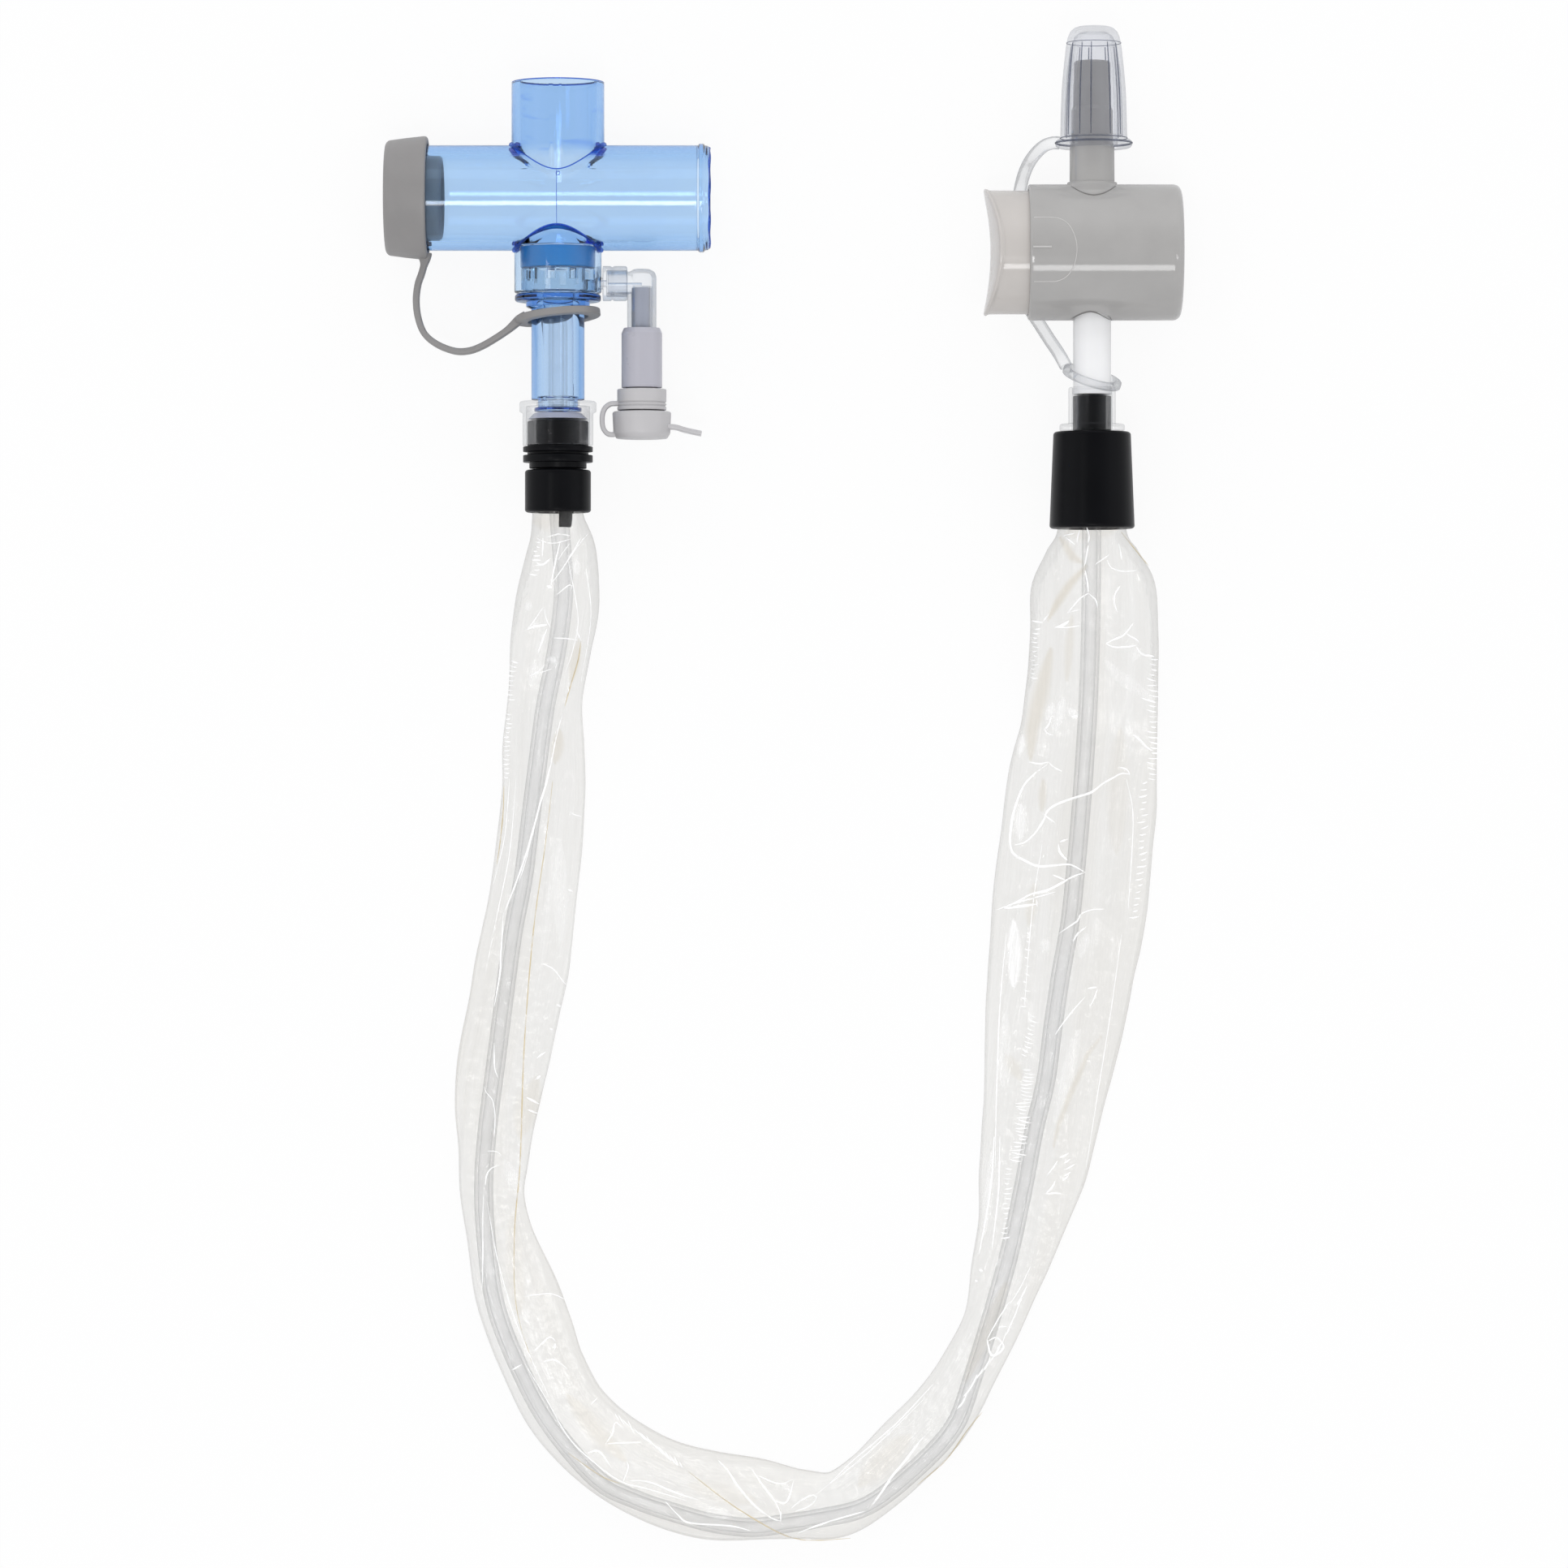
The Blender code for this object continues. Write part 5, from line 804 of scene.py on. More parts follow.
def makeFilm():
    rings, topCount, lowCount = filmSleeve["rings"], filmSleeve["top"], filmSleeve["under"]
    rows = smoothLine([(*row, *[filmSleeve["lowHeight"]] * (5 - len(row))) for row in filmSleeve["run"]], rings)
    rows[:, 4] = np.maximum(rows[:, 4], rows[:, 3])
    forward = np.gradient(rows[:, :2], axis=0)
    forward[:3] = (0, -1)
    forward[-3:] = (0, 1)
    forward /= np.linalg.norm(forward, axis=1)[:, None]
    across = np.stack([-forward[:, 1], forward[:, 0]], axis=1)
    run = np.concatenate([[0], np.cumsum(np.linalg.norm(np.diff(rows[:, :3], axis=0), axis=1))])
    halfWidth, halfHeight, middle = rows[:, 2:3], rows[:, 3:4], rows[:, 4:5]
    # where the catheter lies across the film
    gapX = rows[:, None, 0] - catheterLine[None, :, 0]
    gapY = rows[:, None, 1] - catheterLine[None, :, 1]
    nearest = np.argmin(gapX ** 2 + gapY ** 2, axis=1)
    offset = ((catheterLine[nearest, :2] - rows[:, :2]) * across).sum(axis=1)[:, None]
    catheterHeight = catheterLine[nearest, 2][:, None]
    u = closeAtEdges(np.linspace(-1, 1, topCount))
    roundShare = smoothStep(3.1, 5.0, halfHeight)
    arch = np.sqrt(np.clip(1 - u ** 2, 0, 1))
    flatTop = 0.5 + (2 * 2.9 * 0.52) * (1 - np.abs(u) ** 2.4) ** 0.8
    side = np.abs(u * halfWidth - offset)
    tent = catheterHeight + 2.35 - 0.34 * np.clip(side - 1.0, 0, 99) ** 1.25 - 0.05 * side
    flatTop = np.maximum(flatTop, tent * (1 - np.abs(u) ** 8) + 0.5 * np.abs(u) ** 8)
    tubeTop = middle + halfHeight * arch
    top = flatTop * (1 - roundShare) + tubeTop * roundShare
    # the edge is a little ragged
    s = np.repeat(run[:, None], topCount, axis=1)
    ragged = 1 + filmSleeve["ragged"] * (softNoise(s / 7.0, np.sign(u) + s * 0, 41) - 0.5) \
        * smoothStep(0.6, 1, np.abs(u)) * smoothStep(9, 20, s)
    x = rows[:, 0:1] + across[:, 0:1] * u * halfWidth * ragged
    y = rows[:, 1:2] + across[:, 1:2] * u * halfWidth * ragged
    d = u * halfWidth
    # folds and crumples
    total = run[-1]
    back = total - s
    free = smoothStep(7.6, 9.5, s) * smoothStep(17.0, 19.0, back)
    edgeKeep = 1 - np.abs(u) ** 10
    wander = softNoise(s / 31, d / 9, 5) * 5
    lift = filmSleeve["folds"] * 1.5 * sharpFolds((d + wander) / 3.1, s / 46, 1, 4)
    lift += filmSleeve["folds"] * sharpFolds((d - wander) / 5.7 + 3.3, s / 33 + 8, 2, 5)
    crumple = filmSleeve["crumple"]
    patch = smoothStep(0.42, 0.68, softNoise(s / 19 + 4, d / 11 + 7, 11))
    lift += patch * crumple * 1.6 * sharpFolds((d * 0.8 + s * 0.55) / 7.5, (s * 0.8 - d * 0.5) / 10, 3, 6)
    patch = smoothStep(0.45, 0.7, softNoise(s / 23 + 14, d / 13 + 1, 12))
    lift += patch * crumple * 1.4 * sharpFolds((d * 0.9 - s * 0.6) / 6.0, (s + d * 0.4) / 8.5, 4, 6)
    lift += 0.5 * (softNoise(s / 13, d / 6.5, 21) - 0.5) + 0.22 * (softNoise(s / 4.1, d / 2.9, 22) - 0.5)
    # pleats where the film is gathered into the two clamps
    pleat = np.sin(u * 15 + 1.3) * 0.6 + np.sin(u * 27) * 0.4
    lift += pleat * filmSleeve["frontPleats"] * (np.exp(-np.clip(s - 8, 0, 999) / 13) * smoothStep(7.8, 13, s))
    pleat = np.sin(u * 21 + 0.4) * 0.6 + np.sin(u * 34 + 2) * 0.4
    lift += pleat * filmSleeve["rearPleats"] * (np.exp(-np.clip(back - 17, 0, 999) / 15) * smoothStep(17, 23, back))
    for width, *marks in foldLines:
        gap = lineDistance(x, y, tablePoints(marks))
        crest = np.clip(1 - gap / (0.4 + 0.3 * width), 0, 1) ** 1.5
        lift += 0.22 * width * (crest - 0.3 * np.exp(-((gap - 1.4) / 0.8) ** 2))
    top = np.maximum(top + lift * free * edgeKeep, 0.35)
    # keep the film off the catheter
    reach = 500 * catheter["diameter"] + filmSleeve["skin"]
    cover = catheterHeight + np.sqrt(np.clip(reach ** 2 - side ** 2, 0, None))
    top = np.where(side < reach, np.maximum(top, cover), top)
    # how strong the painted highlight is and how warm each place is
    shades = []
    for places, shade, far, near in (
            (paintedSheenPlaces, np.zeros_like(x), 1.25, 0.55),
            (warmPlaces, 0.10 * smoothStep(0.4, 0.7, softNoise(s / 60, d / 7, 51)), 1.6, 0.3)):
        for strength, width, *marks in places:
            gap = lineDistance(x, y, tablePoints(marks)) / filmPx
            shade = np.maximum(shade, strength * smoothStep(far, near, gap / width))
        shades.append(shade)
    paintedGlint, warm = shades
    lowU = closeAtEdges(np.linspace(1, -1, lowCount + 2)[1:-1])
    lowArch = np.sqrt(np.clip(1 - lowU ** 2, 0, 1))
    flatLow = 0.12 + 0.38 * np.abs(lowU) ** 6
    low = flatLow * (1 - roundShare) + (middle - halfHeight * lowArch) * roundShare
    low = np.maximum(low, 0.08)
    lowX = rows[:, 0:1] + across[:, 0:1] * lowU * halfWidth
    lowY = rows[:, 1:2] + across[:, 1:2] * lowU * halfWidth
    count = topCount + lowCount
    ringX, ringY, ringZ = (np.concatenate(pair, axis=1) for pair in ((x, lowX), (y, lowY), (top, low)))
    verts = np.stack([ringX, ringY, ringZ], axis=2).reshape(-1, 3)
    index = np.arange(rings * count).reshape(rings, count)
    nextRing = np.roll(index, -1, axis=1)
    faces = np.stack([index[:-1], index[1:], nextRing[1:], nextRing[:-1]], axis=2).reshape(-1, 4)
    mesh = bpy.data.meshes.new("filmSleeve")
    mesh.from_pydata((verts * mm).tolist(), [], faces.tolist())
    spread = mesh.uv_layers.new(name="alongFilm")
    sAll = np.repeat(run[:, None], count, axis=1)
    uAll = np.concatenate([d, lowU * halfWidth + 40], axis=1)
    corners = np.stack([uAll.ravel()[faces], sAll.ravel()[faces]], axis=2)
    spread.data.foreach_set("uv", corners.ravel())
    # first channel: the painted highlight; second channel: warmth where the film lies double
    paintedSheenAndWarmth = mesh.color_attributes.new("paintedSheenAndWarmth", "FLOAT_COLOR", "POINT")
    shades = np.zeros((rings, count, 4))
    shades[:, :topCount, 0] = paintedGlint
    shades[:, :topCount, 1] = warm
    shades[:, :, 3] = 1
    paintedSheenAndWarmth.data.foreach_set("color", shades.ravel())
    mesh.shade_smooth()
    return mesh, np.stack([x, y, top], axis=2).reshape(-1, 3)


filmMesh, filmTop = makeFilm()
filmPiece = addPiece("filmSleeve", filmMesh, "film", "valve", ["sleeve"])
filmTree = kdtree.KDTree(len(filmTop))
for number, spot in enumerate(filmTop):
    filmTree.insert((spot[0], spot[1], 0), number)
filmTree.balance()


def filmHeight(x, y):  # how high the film's upper side is here, mm
    found = filmTree.find_n((x, y, 0), 4)
    shares = [1 / (gap + 0.05) for _, _, gap in found]
    return sum(filmTop[number][2] / (gap + 0.05) for _, number, gap in found) / sum(shares)


def pictureLine(marks):  # picture points in one row, and how long the line through them is
    flat = np.array([(px, py, 0.0) for px, py in marks], float)
    return flat, np.linalg.norm(np.diff(flat, axis=0), axis=1).sum()


def laidLine(marks, step=0.7):  # a smooth line on the film through picture points
    flat, length = pictureLine(marks)
    made = []
    for px, py, _ in smoothLine(flat, max(4, int(length * filmPx / step) + 2)):
        x, y, _ = pxPoint(px, py, 5.0)
        x, y, _ = pxPoint(px, py, filmHeight(x, y))
        made.append((x, y, filmHeight(x, y) + 0.1))
    return made


def foldRow(width, marks):  # thin at both ends and uneven along it
    line = laidLine(marks)
    half = width * filmPx / 2
    radii = []
    for index, (x, y, _) in enumerate(line):
        swell = max(0.0, math.sin(math.pi * index / (len(line) - 1))) ** 0.6
        uneven = float(softNoise(np.array(x / 1.7), np.array(y / 1.7), 61))
        radii.append(half * (0.25 + 0.75 * swell) * (0.75 + 0.5 * uneven))
    return line, radii


def crimpRows(spacing, length, slant, marks):
    flat, total = pictureLine(marks)
    rows = []
    for number, (px, py, _) in enumerate(smoothLine(flat, max(3, int(total / spacing)))):
        step, whole = np.array(number), np.array(total)
        turnBy, reachBy, shiftBy, widthBy = (float(hashGrid(step, whole, seed)) for seed in (71, 72, 73, 74))
        turn = math.radians(slant + 22 * (turnBy - 0.5))
        reach = length * (0.35 + 0.4 * reachBy)
        shift = (shiftBy - 0.5) * length * 0.5
        dx, dy = reach * math.cos(turn), reach * math.sin(turn)
        px, py = px + shift * math.cos(turn), py + shift * math.sin(turn)
        rows.append(foldRow(1.1 + 0.9 * widthBy, [(px - dx, py - dy), (px, py + 0.6), (px + dx, py + dy)]))
    return rows


foldRows = [foldRow(width, marks) for width, *marks in foldLines]
for spacing, length, slant, *marks in crimpLines:
    foldRows += crimpRows(spacing, length, slant, marks)
# the folds and crimps as white, faintly glowing beads: a painted highlight on each crease
filmFoldHighlights = addPiece("filmFoldHighlights", beadMesh("filmFoldHighlights", foldRows, 6, 0.5), "filmFold", "valve")
seamRows = [foldRow(width, marks) for width, *marks in seamLines]
filmSeams = addPiece("filmSeams", beadMesh("filmSeams", seamRows, 6, 0.5), "filmSeam", "valve")
print("film sleeve creased")

# patient tee
nx, ty, tz = place["neckX"], place["teeY"], place["teeZ"]
teePlace = (nx, ty, tz)
tee = {
    "outline": [(-81.4, 0), (-81.4, 10.7), (-80.8, 11.0), (-18.0, 11.0), (-17.7, 11.33), (-16.8, 11.33),
                (-16.5, 10.95), (-15.9, 10.9), (-15.5, 10.5), (-15.5, 0)],
    "bore": 9.2, "port": 9.7, "portBore": 8.1, "throat": 6.0, "socket": 9.1, "socketBore": 8.15,
}


def makeTee():
    body = turnedMesh("teeTube", tee["outline"], "x", teePlace, 128, 0.2)
    port = [(ty + 1, 0), (ty + 1, tee["port"]), (146.6, tee["port"]), (146.9, 9.45), (146.9, 0)]
    socket = [(102.7, 0), (102.7, 8.9), (102.95, tee["socket"]), (ty - 1, tee["socket"]), (ty - 1, 0)]
    joined = [toolMesh(outline, "y", teePlace, 112, 0.0, 0.1) for outline in (port, socket)]
    cuts = [
        rodMesh(-84, -13, tee["bore"], "x", teePlace, 120, 0.5),
        rodMesh(ty + 0.4, 150, tee["portBore"], "y", teePlace, 104, 0.5),
        rodMesh(111.6, ty - 0.4, tee["throat"], "y", teePlace, 80, 0.5),
        rodMesh(100, 112.6, tee["socketBore"], "y", teePlace, 104, 0.5),
        rodMesh(-41, -36, 1.5, "x", (nx, place["flushY"], tz), 32, 0.37),
    ]
    addPiece("teeBody", cutMesh(body, joined, cuts), "blueTee", "head", ["tee_body"])


def crossLine(radius, way, thin, thick, count=73):  # where a side tube runs into the main tube, as a deep-blue bead: a fillet that carries a painted shade line
    line, radii = [], []
    for step in range(count):
        share = 2 * step / (count - 1) - 1
        a = radius * math.sin(share * math.pi / 2)
        z = math.sqrt(max(radius ** 2 - a ** 2, 0))
        line.append((nx + a, ty + way * math.sqrt(max(11.05 ** 2 - z ** 2, 0)), tz + z + 0.02))
        swell = float(smoothStep(0.45, 0.8, abs(share))) * (1 - 0.6 * float(smoothStep(0.92, 1, abs(share))))
        radii.append(thin + (thick - thin) * swell)
    return line, radii


def makeTeeShadeLines():
    mould = [(nx + 0.05, y, tz + math.sqrt(11.0 ** 2 - (y - ty) ** 2)) for y in np.linspace(ty + 5.0, ty - 6.0, 30)]
    wavy = [0.15 + 0.07 * math.sin(9 * turn) + 0.12 * abs(math.cos(turn)) for turn in np.linspace(0, 2 * math.pi, 97)]
    # beads at the joints, the mould line, a small ring and the ends: real fillets, mould line and rims, with their
    # dark lines painted in
    rows = [
        crossLine(tee["port"] + 0.02, 1, 0.13, 0.62), crossLine(tee["socket"] + 0.02, -1, 0.26, 0.55),
        (mould, 0.055), (ringLine((nx + 0.35, ty + 4.3, tz + 10.13), 0.4, "z", 25), 0.07),
        (ringLine((-15.65, ty, tz), 10.35, "x"), wavy),
        (ringLine((nx, 78.35, tz), 4.75, "y"), 0.22), (ringLine((nx, 146.75, tz), 9.55, "y"), 0.12),
    ]
    addPiece("teeShadeLines", beadMesh("teeShadeLines", rows, 8), "blueFold", "head", ())


makeTee()
makeTeeShadeLines()
turnedPiece("teeCap", "capGrey", "end_cap", ["tee_cap"], "x", (-83.3, ty, tz), 128, 0.4, [
    (-83.3, 0), (-83.3, 11.3), (-82.7, 12.0), (-79.0, 12.5), (-75.3, 12.9), (-74.8, 12.85), (-74.5, 12.5),
    (-74.5, 11.3), (-81.7, 11.3), (-81.7, 8.9), (-71.9, 8.9), (-71.4, 8.4), (-71.4, 7.6), (-81.7, 7.6), (-81.7, 0)])
print("tee made")

# seal, retainer and neck
turnedPiece("wiperSeal", "tealRubber", "head", ["wiper_seal"], "y", teePlace, 80, 0.3, [
    (112.3, 2.8), (112.3, 7.85), (107.9, 7.85), (107.9, 4.6), (109.8, 1.2), (109.8, 0.6), (110.8, 0.6)])


def makeRetainer():
    ring = turnedMesh("retainer", [(102.7, 5.4), (102.7, 7.85), (107.6, 7.85), (107.6, 5.4)], "y", teePlace, 80, 0.15)
    slots = bmesh.new()
    for number in range(10):
        spot = Matrix.Rotation(2 * math.pi * (number + 0.25) / 10, 4, "Y") @ Matrix.Translation((7.85, 0, 0))
        middle = Matrix.Translation((nx, 106.6, tz))
        shape = Matrix.Scale(mm, 4) @ middle @ spot @ Matrix.Diagonal((3.2, 2.6, 1.7, 1))
        bmesh.ops.create_cube(slots, size=1.0, matrix=shape)
    tool = bpy.data.meshes.new("slots")
    slots.to_mesh(tool)
    slots.free()
    addPiece("sealRetainer", cutMesh(ring, [], [tool]), "retainerClear", "head", ["seal_retainer"])


makeRetainer()
turnedPiece("neckHub", "blueClear", "head", ["neck_hub"], "y", teePlace, 96, 0.2, [
    (102.4, 3.2), (102.4, 8.7), (102.1, 9.0), (101.2, 9.0), (100.9, 8.7), (100.9, 6.65), (99.8, 6.65), (99.3, 5.55),
    (80.35, 5.55), (80.35, 4.2), (78.7, 4.2), (78.7, 4.95), (77.9, 4.95), (77.9, 2.4), (80.2, 2.4), (81.0, 3.2)])
print("neck made")

# flush branch
fx, fy = place["flushX"], place["flushY"]
legPlace = (fx, fy, tz)
turnedPiece("flushCoupling", "elbowClear", "head", ["flush_coupling"], "x", (nx, fy, tz), 72, 0.12, [
    (-39.05, 0.7), (-39.05, 1.2), (-37.9, 1.2), (-37.9, 3.65), (-36.3, 3.65), (-35.9, 3.35), (-35.5, 3.65),
    (-33.1, 3.65), (-32.8, 3.35), (-32.8, 2.8), (-37.1, 2.8), (-37.1, 0.7)])


def makeElbow():
    outline = [(91.5, 0), (91.5, 3.05), (106.2, 3.05), (107.1, 2.7), (107.7, 1.65), (107.7, 0)]
    leg = turnedMesh("leg", outline, "y", legPlace, 72, 0.3)
    bores = [rodMesh(89, 104.1, 2.2, "y", legPlace, 56, 0.5), rodMesh(-39, fx, 1.2, "x", (fx, fy - 1.0, tz), 40, 0.3)]
    solid = cutMesh(leg, [rodMesh(-36.8, fx, 2.5, "x", legPlace, 60, 0.37)], bores)
    addPiece("flushElbow", solid, "elbowClear", "head", ["flush_elbow"])


makeElbow()
turnedPiece("flushInnerTube", "milkyGrey", "head", ["flush_inner_tube"], "y", legPlace, 48, 0.1, [
    (103.8, 1.1), (103.8, 2.1), (86.7, 2.1), (86.7, 1.1)])
turnedPiece("flushTube", "lavender", "head", ["flush_tube"], "y", legPlace, 72, 0.12, [
    (95.4, 3.35), (95.4, 3.75), (94.3, 4.25), (82.9, 4.25), (82.9, 3.35)])
turnedPiece("flushCollar", "palePlastic", "head", ["flush_collar"], "y", legPlace, 80, 0.08, [
    (86.4, 1.4), (86.4, 3.05), (82.6, 3.05), (82.6, 5.0), (82.45, 5.15), (80.0, 5.15), (79.75, 4.85), (79.5, 5.15),
    (79.3, 5.15), (79.05, 4.85), (78.8, 5.15), (78.2, 5.1), (78.2, 2.6), (74.2, 2.1), (74.2, 1.4)])


def makeFlushCap():
    cup = turnedMesh("flushCap", [
        (77.9, 4.7), (77.9, 5.9), (77.6, 6.15), (73.3, 5.95), (72.25, 5.3), (72.25, 0), (73.45, 0), (73.45, 4.5)],
        "y", legPlace, 96, 0.25)
    line = smoothLine([(fx + 5.5, 74.75, tz), (fx + 7.2, 74.6, tz), (fx + 9.2, 74.0, tz), (-17.3, 73.3, tz)], 16)
    tab = bandMesh("flushTab", line, [(0, 0, 1)] * len(line), 5.0, 1.0, 0.35)
    addPiece("flushCap", cutMesh(cup, [tab], []), "palePlastic", "port_cap", ["flush_cap"])


makeFlushCap()
print("flush branch made")

# swivel cup and front clamp
turnedPiece("swivelCup", "cupClear", "valve", ["swivel_cup"], "y", teePlace, 96, 0.15, [
    (80.05, 4.5), (80.05, 7.75), (79.75, 8.05), (77.9, 8.05), (77.5, 7.4), (70.85, 7.4), (70.85, 6.7), (79.0, 6.7),
    (79.0, 4.5)])
turnedPiece("coneSeal", "coneMilk", "valve", ["cone_seal"], "y", teePlace, 72, 0.15, [
    (77.6, 2.4), (77.6, 4.9), (76.35, 6.2), (76.35, 2.4)])
turnedPiece("frontSleevePlug", "blackGloss", "valve", ["front_sleeve_plug"], "y", teePlace, 96, 0.12, [
    (76.0, 2.4), (76.0, 6.1), (75.7, 6.4), (70.55, 6.4), (70.55, 7.3), (69.5, 7.3), (69.4, 6.4), (68.85, 6.4),
    (68.75, 7.3), (67.3, 7.3), (67.2, 6.0), (66.0, 6.0), (66.0, 4.75), (57.6, 4.75), (57.6, 2.4)])
turnedPiece("frontClampCollar", "blackGloss", "valve", ["front_clamp_collar"], "y", teePlace, 96, 0.2, [
    (65.7, 5.7), (65.7, 6.5), (65.35, 6.9), (57.15, 6.9), (56.8, 6.5), (56.8, 5.7)])


def makePlugLip():  # the plug's dark lip, seen between the pleats below the collar
    turns = [math.radians(8 + 76 * step / 18) for step in range(19)]
    rings = []
    for y, shift in ((58.2, 0), (57.0, 0), (55.6, 0.05), (54.2, 0.2), (53.7, 0.4)):
        edge = [(3.1 - shift, turn) for turn in turns] + [(2.45 - shift, turn) for turn in turns[::-1]]
        rings.append([(nx + reach * math.cos(turn), y, tz - 0.3 + reach * math.sin(turn)) for reach, turn in edge])
    addPiece("frontPlugLip", skinMesh("frontPlugLip", [rings]), "blackGloss", "valve", ())


makePlugLip()

# rear clamp and valve neck
vx, vy, vz = place["valveX"], place["valveY"], place["valveZ"]
valvePlace = (vx, vy, vz)
turnedPiece("rearClampCollar", "blackGloss", "valve", ["rear_clamp_collar"], "y", valvePlace, 112, 0.3, [
    (73.6, 4.3), (73.6, 7.7), (73.2, 8.1), (53.8, 8.9), (53.4, 8.5), (53.4, 7.35), (72.2, 7.35), (72.2, 4.3)])
turnedPiece("rearSleevePlug", "blackGloss", "valve", ["rear_sleeve_plug"], "y", valvePlace, 80, 0.15, [
    (81.1, 2.4), (81.1, 4.0), (71.9, 4.0), (71.9, 5.9), (71.2, 6.4), (54.6, 6.4), (54.6, 2.4)])
turnedPiece("valveNeck", "milkWhite", "valve", (), "y", valvePlace, 96, 0.1, [
    (100.7, 2.6), (100.7, 3.95), (82.45, 3.95), (82.45, 4.05), (82.25, 4.15), (81.5, 4.15), (81.4, 3.9), (81.4, 2.6)])
turnedPiece("valveNeckSkirt", "cupClear", "valve", ["valve_neck"], "y", valvePlace, 96, 0.12, [
    (82.9, 4.2), (82.9, 4.75), (82.6, 4.95), (75.2, 4.95), (75.2, 6.6), (75.0, 6.8), (73.9, 6.8), (73.9, 4.3)])
print("clamps made")


# valve
def makeValveBody():
    shell = turnedMesh("valveShell", [
        (51.0, 13.2), (51.0, 13.9), (51.3, 14.2), (81.3, 14.2), (82.0, 14.06), (82.55, 13.65), (82.87, 13.1),
        (83.0, 12.5), (83.0, 0), (54.0, 0), (54.0, 6.0), (81.4, 6.0), (81.4, 13.0), (59.0, 13.0), (59.0, 13.2)],
        "x", valvePlace, 160, 0.15)
    foot = [(vy + up, radius) for up, radius in (  # distance from the valve's middle, radius
        (10.4, 5.2), (10.4, 8.4), (11.6, 8.2), (12.5, 7.6), (13.3, 6.4), (13.8, 5.6), (14.2, 5.2),
        (14.6, 5.2), (14.6, 4.7))]
    steps = [(132.9, 4.67), (134.2, 4.34), (140.8, 4.3), (141.6, 4.0), (146.0, 3.95), (146.6, 3.85), (150.7, 3.85),
             (151.1, 3.5), (151.1, 0)]
    nipple = turnedMesh("nipple", [(98.0, 0), (98.0, 5.2)] + foot + steps, "y", valvePlace, 88, 0.12)
    arch = [(90, 0), (90, 3.95), (98.3, 3.95), (99.4, 3.35), (100.2, 2.3), (100.6, 1.1), (100.7, 0)]
    bay = [(50, 9.0), (50, 13.15), (58.9, 13.15), (58.9, 9.0)]  # room for the pressed button
    cuts = [
        toolMesh(bay, "x", valvePlace, 144, 0.37),
        rodMesh(52, 81.4, 4.6, "x", valvePlace, 72, 0.5),
        rodMesh(90, 156, 2.4, "y", valvePlace, 48, 0.5),
        rodMesh(90, 101.0, 4.25, "y", valvePlace, 64, 0.5),
        toolMesh(arch, "y", (vx, vy, vz + 2.0), 60, 0.37),
    ]
    addPiece("valveBody", cutMesh(shell, [nipple], cuts), "valveGrey", "valve", ["valve_body"])


def onValve(px, py, radius=14.2):  # a picture point on the round of the valve, mm
    z = 26.0
    for _ in range(4):
        x, y, _z = pxPoint(px, py, z)
        z = vz + math.sqrt(max(radius ** 2 - (y - vy) ** 2, 0))
    return (x, y, z)


def flatLine(marks, count):  # a smooth line through picture points
    return [(px, py) for px, py, _ in smoothLine([(px, py, 0) for px, py in marks], count)]


def makeValveMarks():  # the raised outline, the short bar, and dark beads painted as the shadow line at the rim
    outline = [(1274, 268), (1290, 268), (1304, 269), (1316, 276), (1324, 290), (1327, 307), (1324, 325), (1316, 339),
               (1304, 346), (1290, 347), (1274, 347)]
    rows = []
    for marks, radius, count in ((outline, 0.11, 60), ([(1273, 304), (1284, 304), (1296, 304)], 0.2, 12)):
        rows.append(([onValve(px, py, 14.21) for px, py in flatLine(marks, count)], radius))
    # the raised lines take a lighter colour, a painted highlight on their lit side
    addPiece("valveMarks", beadMesh("valveMarks", rows, 8), "valveMark", "valve", ())
    # dark beads where the nipple's foot and the neck's arch meet the round: painted shade lines
    nippleFoot = [(1320, 229.5), (1326, 233), (1335, 237.5), (1347, 240), (1359, 238), (1368, 233.5), (1375, 228.5)]
    neckArch = [(1320, 393.5), (1327, 389.5), (1335, 386), (1344, 384.3), (1353, 386.5), (1361, 391), (1367, 394.5)]
    radii = [0.04 + 0.09 * math.sin(math.pi * (step + 1) / 31) for step in range(30)]
    rows = [([onValve(px, py, 14.3) for px, py in flatLine(marks, 30)], radii) for marks in (nippleFoot, neckArch)]
    addPiece("valveShadeLines", beadMesh("valveShadeLines", rows, 8), "valveCrease", "valve", ())


def saddleFace(local, angle):  # hollow across, falling away above and below
    if local.z > 44.95 - vx + 0.01:
        return local
    side, height = local.x / 12.9, local.y / 12.9
    return Vector((local.x, local.y, local.z + 1.3 * height ** 2 - 1.6 * side ** 2))


makeValveBody()
makeValveMarks()
buttonOutline = [
    (43.2, 0), (43.2, 3), (43.2, 6), (43.2, 9), (43.2, 11.4), (43.25, 12.2), (43.3, 12.8), (43.5, 13.2),
    (43.9, 13.25), (44.4, 12.95), (45.3, 12.9), (53.6, 12.9), (53.6, 11.7), (48.15, 11.7), (48.15, 4.9), (48.7, 4.9),
    (48.7, 3.1), (46.3, 3.1), (46.3, 0)]
addPiece("thumbButton", turnedMesh("thumbButton", buttonOutline, "x", valvePlace, 144, 0.12, saddleFace),
         "ivory", "button", ["thumb_button"])
print("valve made")

# suction cap
suctionCap = {
    "ribs": (-52, -27.5, -7.5, 27, 50), "top": 158.3,  # turn of each rib, degrees
    "wall": [(137, 6.95), (140.8, 6.87), (145, 6.7), (149.2, 6.35), (152, 6.05)],
}
capPlace = (vx + 0.35, vy, vz)


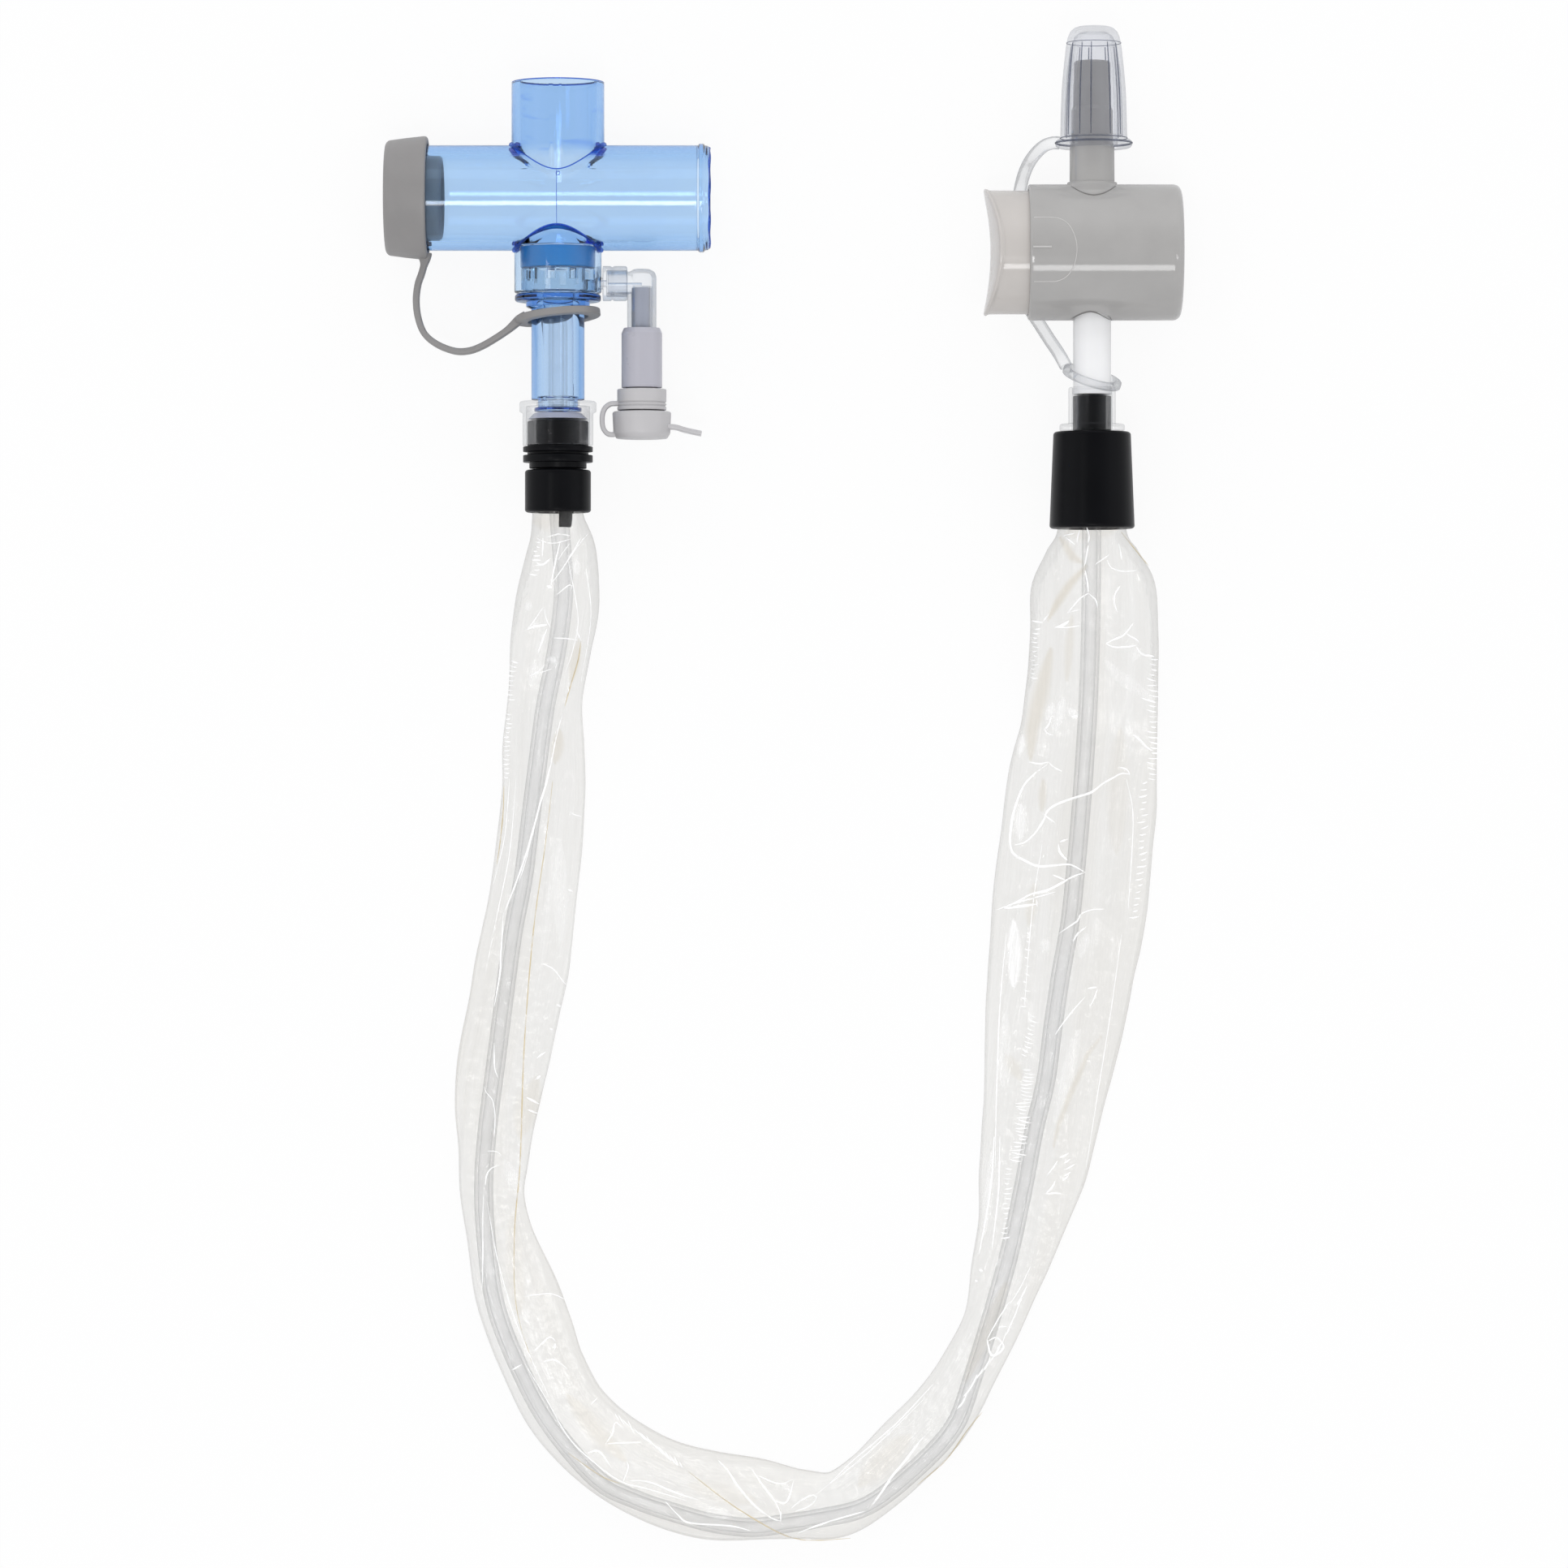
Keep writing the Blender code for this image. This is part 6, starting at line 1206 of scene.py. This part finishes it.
def makeSuctionCap():
    top, wall = suctionCap["top"], suctionCap["wall"]
    outline = [(133.0, 4.97), (133.0, 7.6), (133.4, 8.0), (134.3, 8.0), (134.7, 7.6), (134.9, 7.0)] + wall
    outline += [(154.2, 5.8), (156, 5.45), (157.2, 4.95), (158.0, 4.1), (top, 3.2), (top, 0), (157.0, 0), (157.0, 3.0)]
    outline += [(156.2, 4.0), (154.0, 4.9), (149.0, 5.6), (142.0, 6.0), (135.5, 6.15), (135.3, 4.97)]
    turnedPiece("suctionCap", "capClear", "nipple_cap", ["suction_cap"], "y", capPlace, 140, 0.2, outline)
    # beads along each rib and at the rims: the flutes are real, and their dark outlines are painted shade
    radii = [0.05 + 0.1 * math.sin(math.pi * (step + 1) / 26) ** 0.5 for step in range(24)]
    rows = []
    for turn in suctionCap["ribs"]:
        a = math.radians(turn)
        for side in (1, -1):
            line = [(capPlace[0] + radius * math.sin(a), y, vz + side * radius * math.cos(a))
                    for y, radius in [(135.4, 7.0)] + wall + [(154.6, 5.73)]]
            rows.append((smoothLine(line, 24), radii))
    rows += [(ringLine((capPlace[0], y, vz), radius, "y"), thick)
             for y, radius, thick in ((154.9, 5.68, 0.08), (134.0, 7.95, 0.22), (135.0, 7.0, 0.1))]
    addPiece("suctionCapRibShades", beadMesh("suctionCapRibShades", rows, 6), "capRib", "nipple_cap", ())


makeSuctionCap()

# tethers
tethers = {
    "teeStrap": [(-75.2, 111.0), (-75.25, 109.0), (-75.8, 106.8), (-76.6, 104.4), (-76.95, 101.0), (-76.5, 97.4),
                 (-75.2, 94.2), (-72.6, 92.0), (-69.0, 90.6), (-66.0, 90.6), (-63.2, 91.6), (-60.1, 93.4),
                 (-57.9, 94.9), (-56.5, 96.1), (-55.4, 97.1), (-53.9, 97.9)],
    "flushStrap": [(-34.4, 79.6), (-35.25, 79.6), (-36.3, 79.5), (-37.4, 78.7), (-37.95, 77.4), (-38.05, 76.0),
                   (-37.9, 74.7), (-37.4, 73.75), (-36.8, 73.25), (-35.9, 73.1), (-34.9, 73.3)],
    "suctionStrap": [
        (57.6, 134.0, 14.2), (56.0, 134.0, 14.0), (54.0, 133.2, 13.0), (51.8, 130.9, 10.2), (50.4, 128.0, 6.6),
        (49.6, 124.2, 2.9), (49.3, 120.0, 1.5), (49.2, 115.6, 0.7), (49.2, 111.1, 0.5), (49.2, 106.6, 0.7),
        (49.3, 103.2, 1.6), (50.9, 101.2, 3.2), (53.2, 97.5, 6.2), (55.6, 93.3, 9.8), (57.5, 90.1, 12.6),
        (58.9, 87.4, 14.2)],
}


def teeTaper(share):  # thicker where it leaves the cap, flat where it meets the ring
    return 3.2, 1.35 + 1.6 * float(smoothStep(0.07, 0.0, share)) + 0.7 * float(smoothStep(0.85, 1.0, share))


def suctionTaper(share):  # thin where it passes under the button's travel
    under = float(smoothStep(0.26, 0.38, share)) * float(smoothStep(0.74, 0.62, share))
    return 2.7, 1.9 - 1.1 * under


line = smoothLine([(x, y, tz) for x, y in tethers["teeStrap"]], 80)
band = bandMesh("teeCapStrap", line, [(0, 0, 1)] * len(line), 3.2, 1.35, 0.4, 3, teeTaper)
teeStrap = addPiece("teeCapStrap", band, "capGrey", None, ())
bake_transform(teeStrap)
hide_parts("tee_cap_strap")
line = smoothLine([(x, y, tz) for x, y in tethers["flushStrap"]], 40)
band = bandMesh("flushCapStrap", line, [(0, 0, 1)] * len(line), 2.6, 1.0, 0.3)
flushStrap = addPiece("flushCapStrap", band, "palePlastic", None, ())
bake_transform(flushStrap)
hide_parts("flush_cap_strap")
line = smoothLine(tethers["suctionStrap"], 90)
sides = [np.cross(line[min(i + 1, 89)] - line[max(i - 1, 0)], (0, 0, 1)) for i in range(90)]
band = bandMesh("suctionCapStrap", line, sides, 2.7, 1.9, 0.92, 5, suctionTaper)
suctionStrap = addPiece("suctionCapStrap", band, "strapClear", None, ())
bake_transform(suctionStrap)
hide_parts("suction_cap_strap")


def tiltedRing(name, look, body, stands, centre, tilt, lean, soften, outline):
    mesh = turnedMesh(name, outline, "y", centre, 88, soften)
    pivot = Matrix.Translation(Vector(centre) * mm)
    turn = Matrix.Rotation(math.radians(tilt), 4, "Z") @ Matrix.Rotation(math.radians(lean), 4, "X")
    mesh.transform(pivot @ turn @ pivot.inverted())
    addPiece(name, mesh, look, body, stands)


tiltedRing("teeCapRing", "capGrey", "head", ["tee_cap_ring"], (nx, 97.55, tz), 6.0, -4.2, 0.25,
           [(97.1, 6.3), (97.1, 8.95), (98.6, 8.95), (98.6, 6.3)])
tiltedRing("suctionCapRing", "strapClear", "valve", ["suction_cap_ring"], (vx, 85.0, vz), -17, 16, 0.5,
           [(84.15, 4.85), (84.15, 6.3), (85.85, 6.3), (85.85, 4.85)])
print("tethers made")

# return spring, which closes up as the button is pressed; here it is built as one fixed coil
spring = {"start": 73.4, "length": 7.6, "turns": 4, "radius": 3.7, "wire": 0.3, "steps": 192}
coil = []
for share in np.linspace(0, 1, spring["steps"] + 1):
    turn = 2 * math.pi * spring["turns"] * share
    coil.append((spring["start"] + spring["length"] * share, vy + spring["radius"] * math.sin(turn),
                 vz + spring["radius"] * math.cos(turn)))
springMesh = beadMesh("returnSpring", [(coil, spring["wire"])], 10, 1.0, (1, 0, 0))
springPiece = addPiece("returnSpring", springMesh, "springWire", "valve", ["return_spring"])
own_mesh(springPiece)

# what stays from the frame
innerLooks = {"valve_spool": "palePlastic", "spool_seal_outer": "blackRubber", "spool_seal_inner": "blackRubber"}
for node, look in innerLooks.items():
    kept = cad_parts[node]
    for number in range(max(1, len(kept.material_slots))):
        if kept.material_slots:
            kept.material_slots[number].material = finish[look]
        else:
            kept.data.materials.append(finish[look])
print("inner pieces finished")
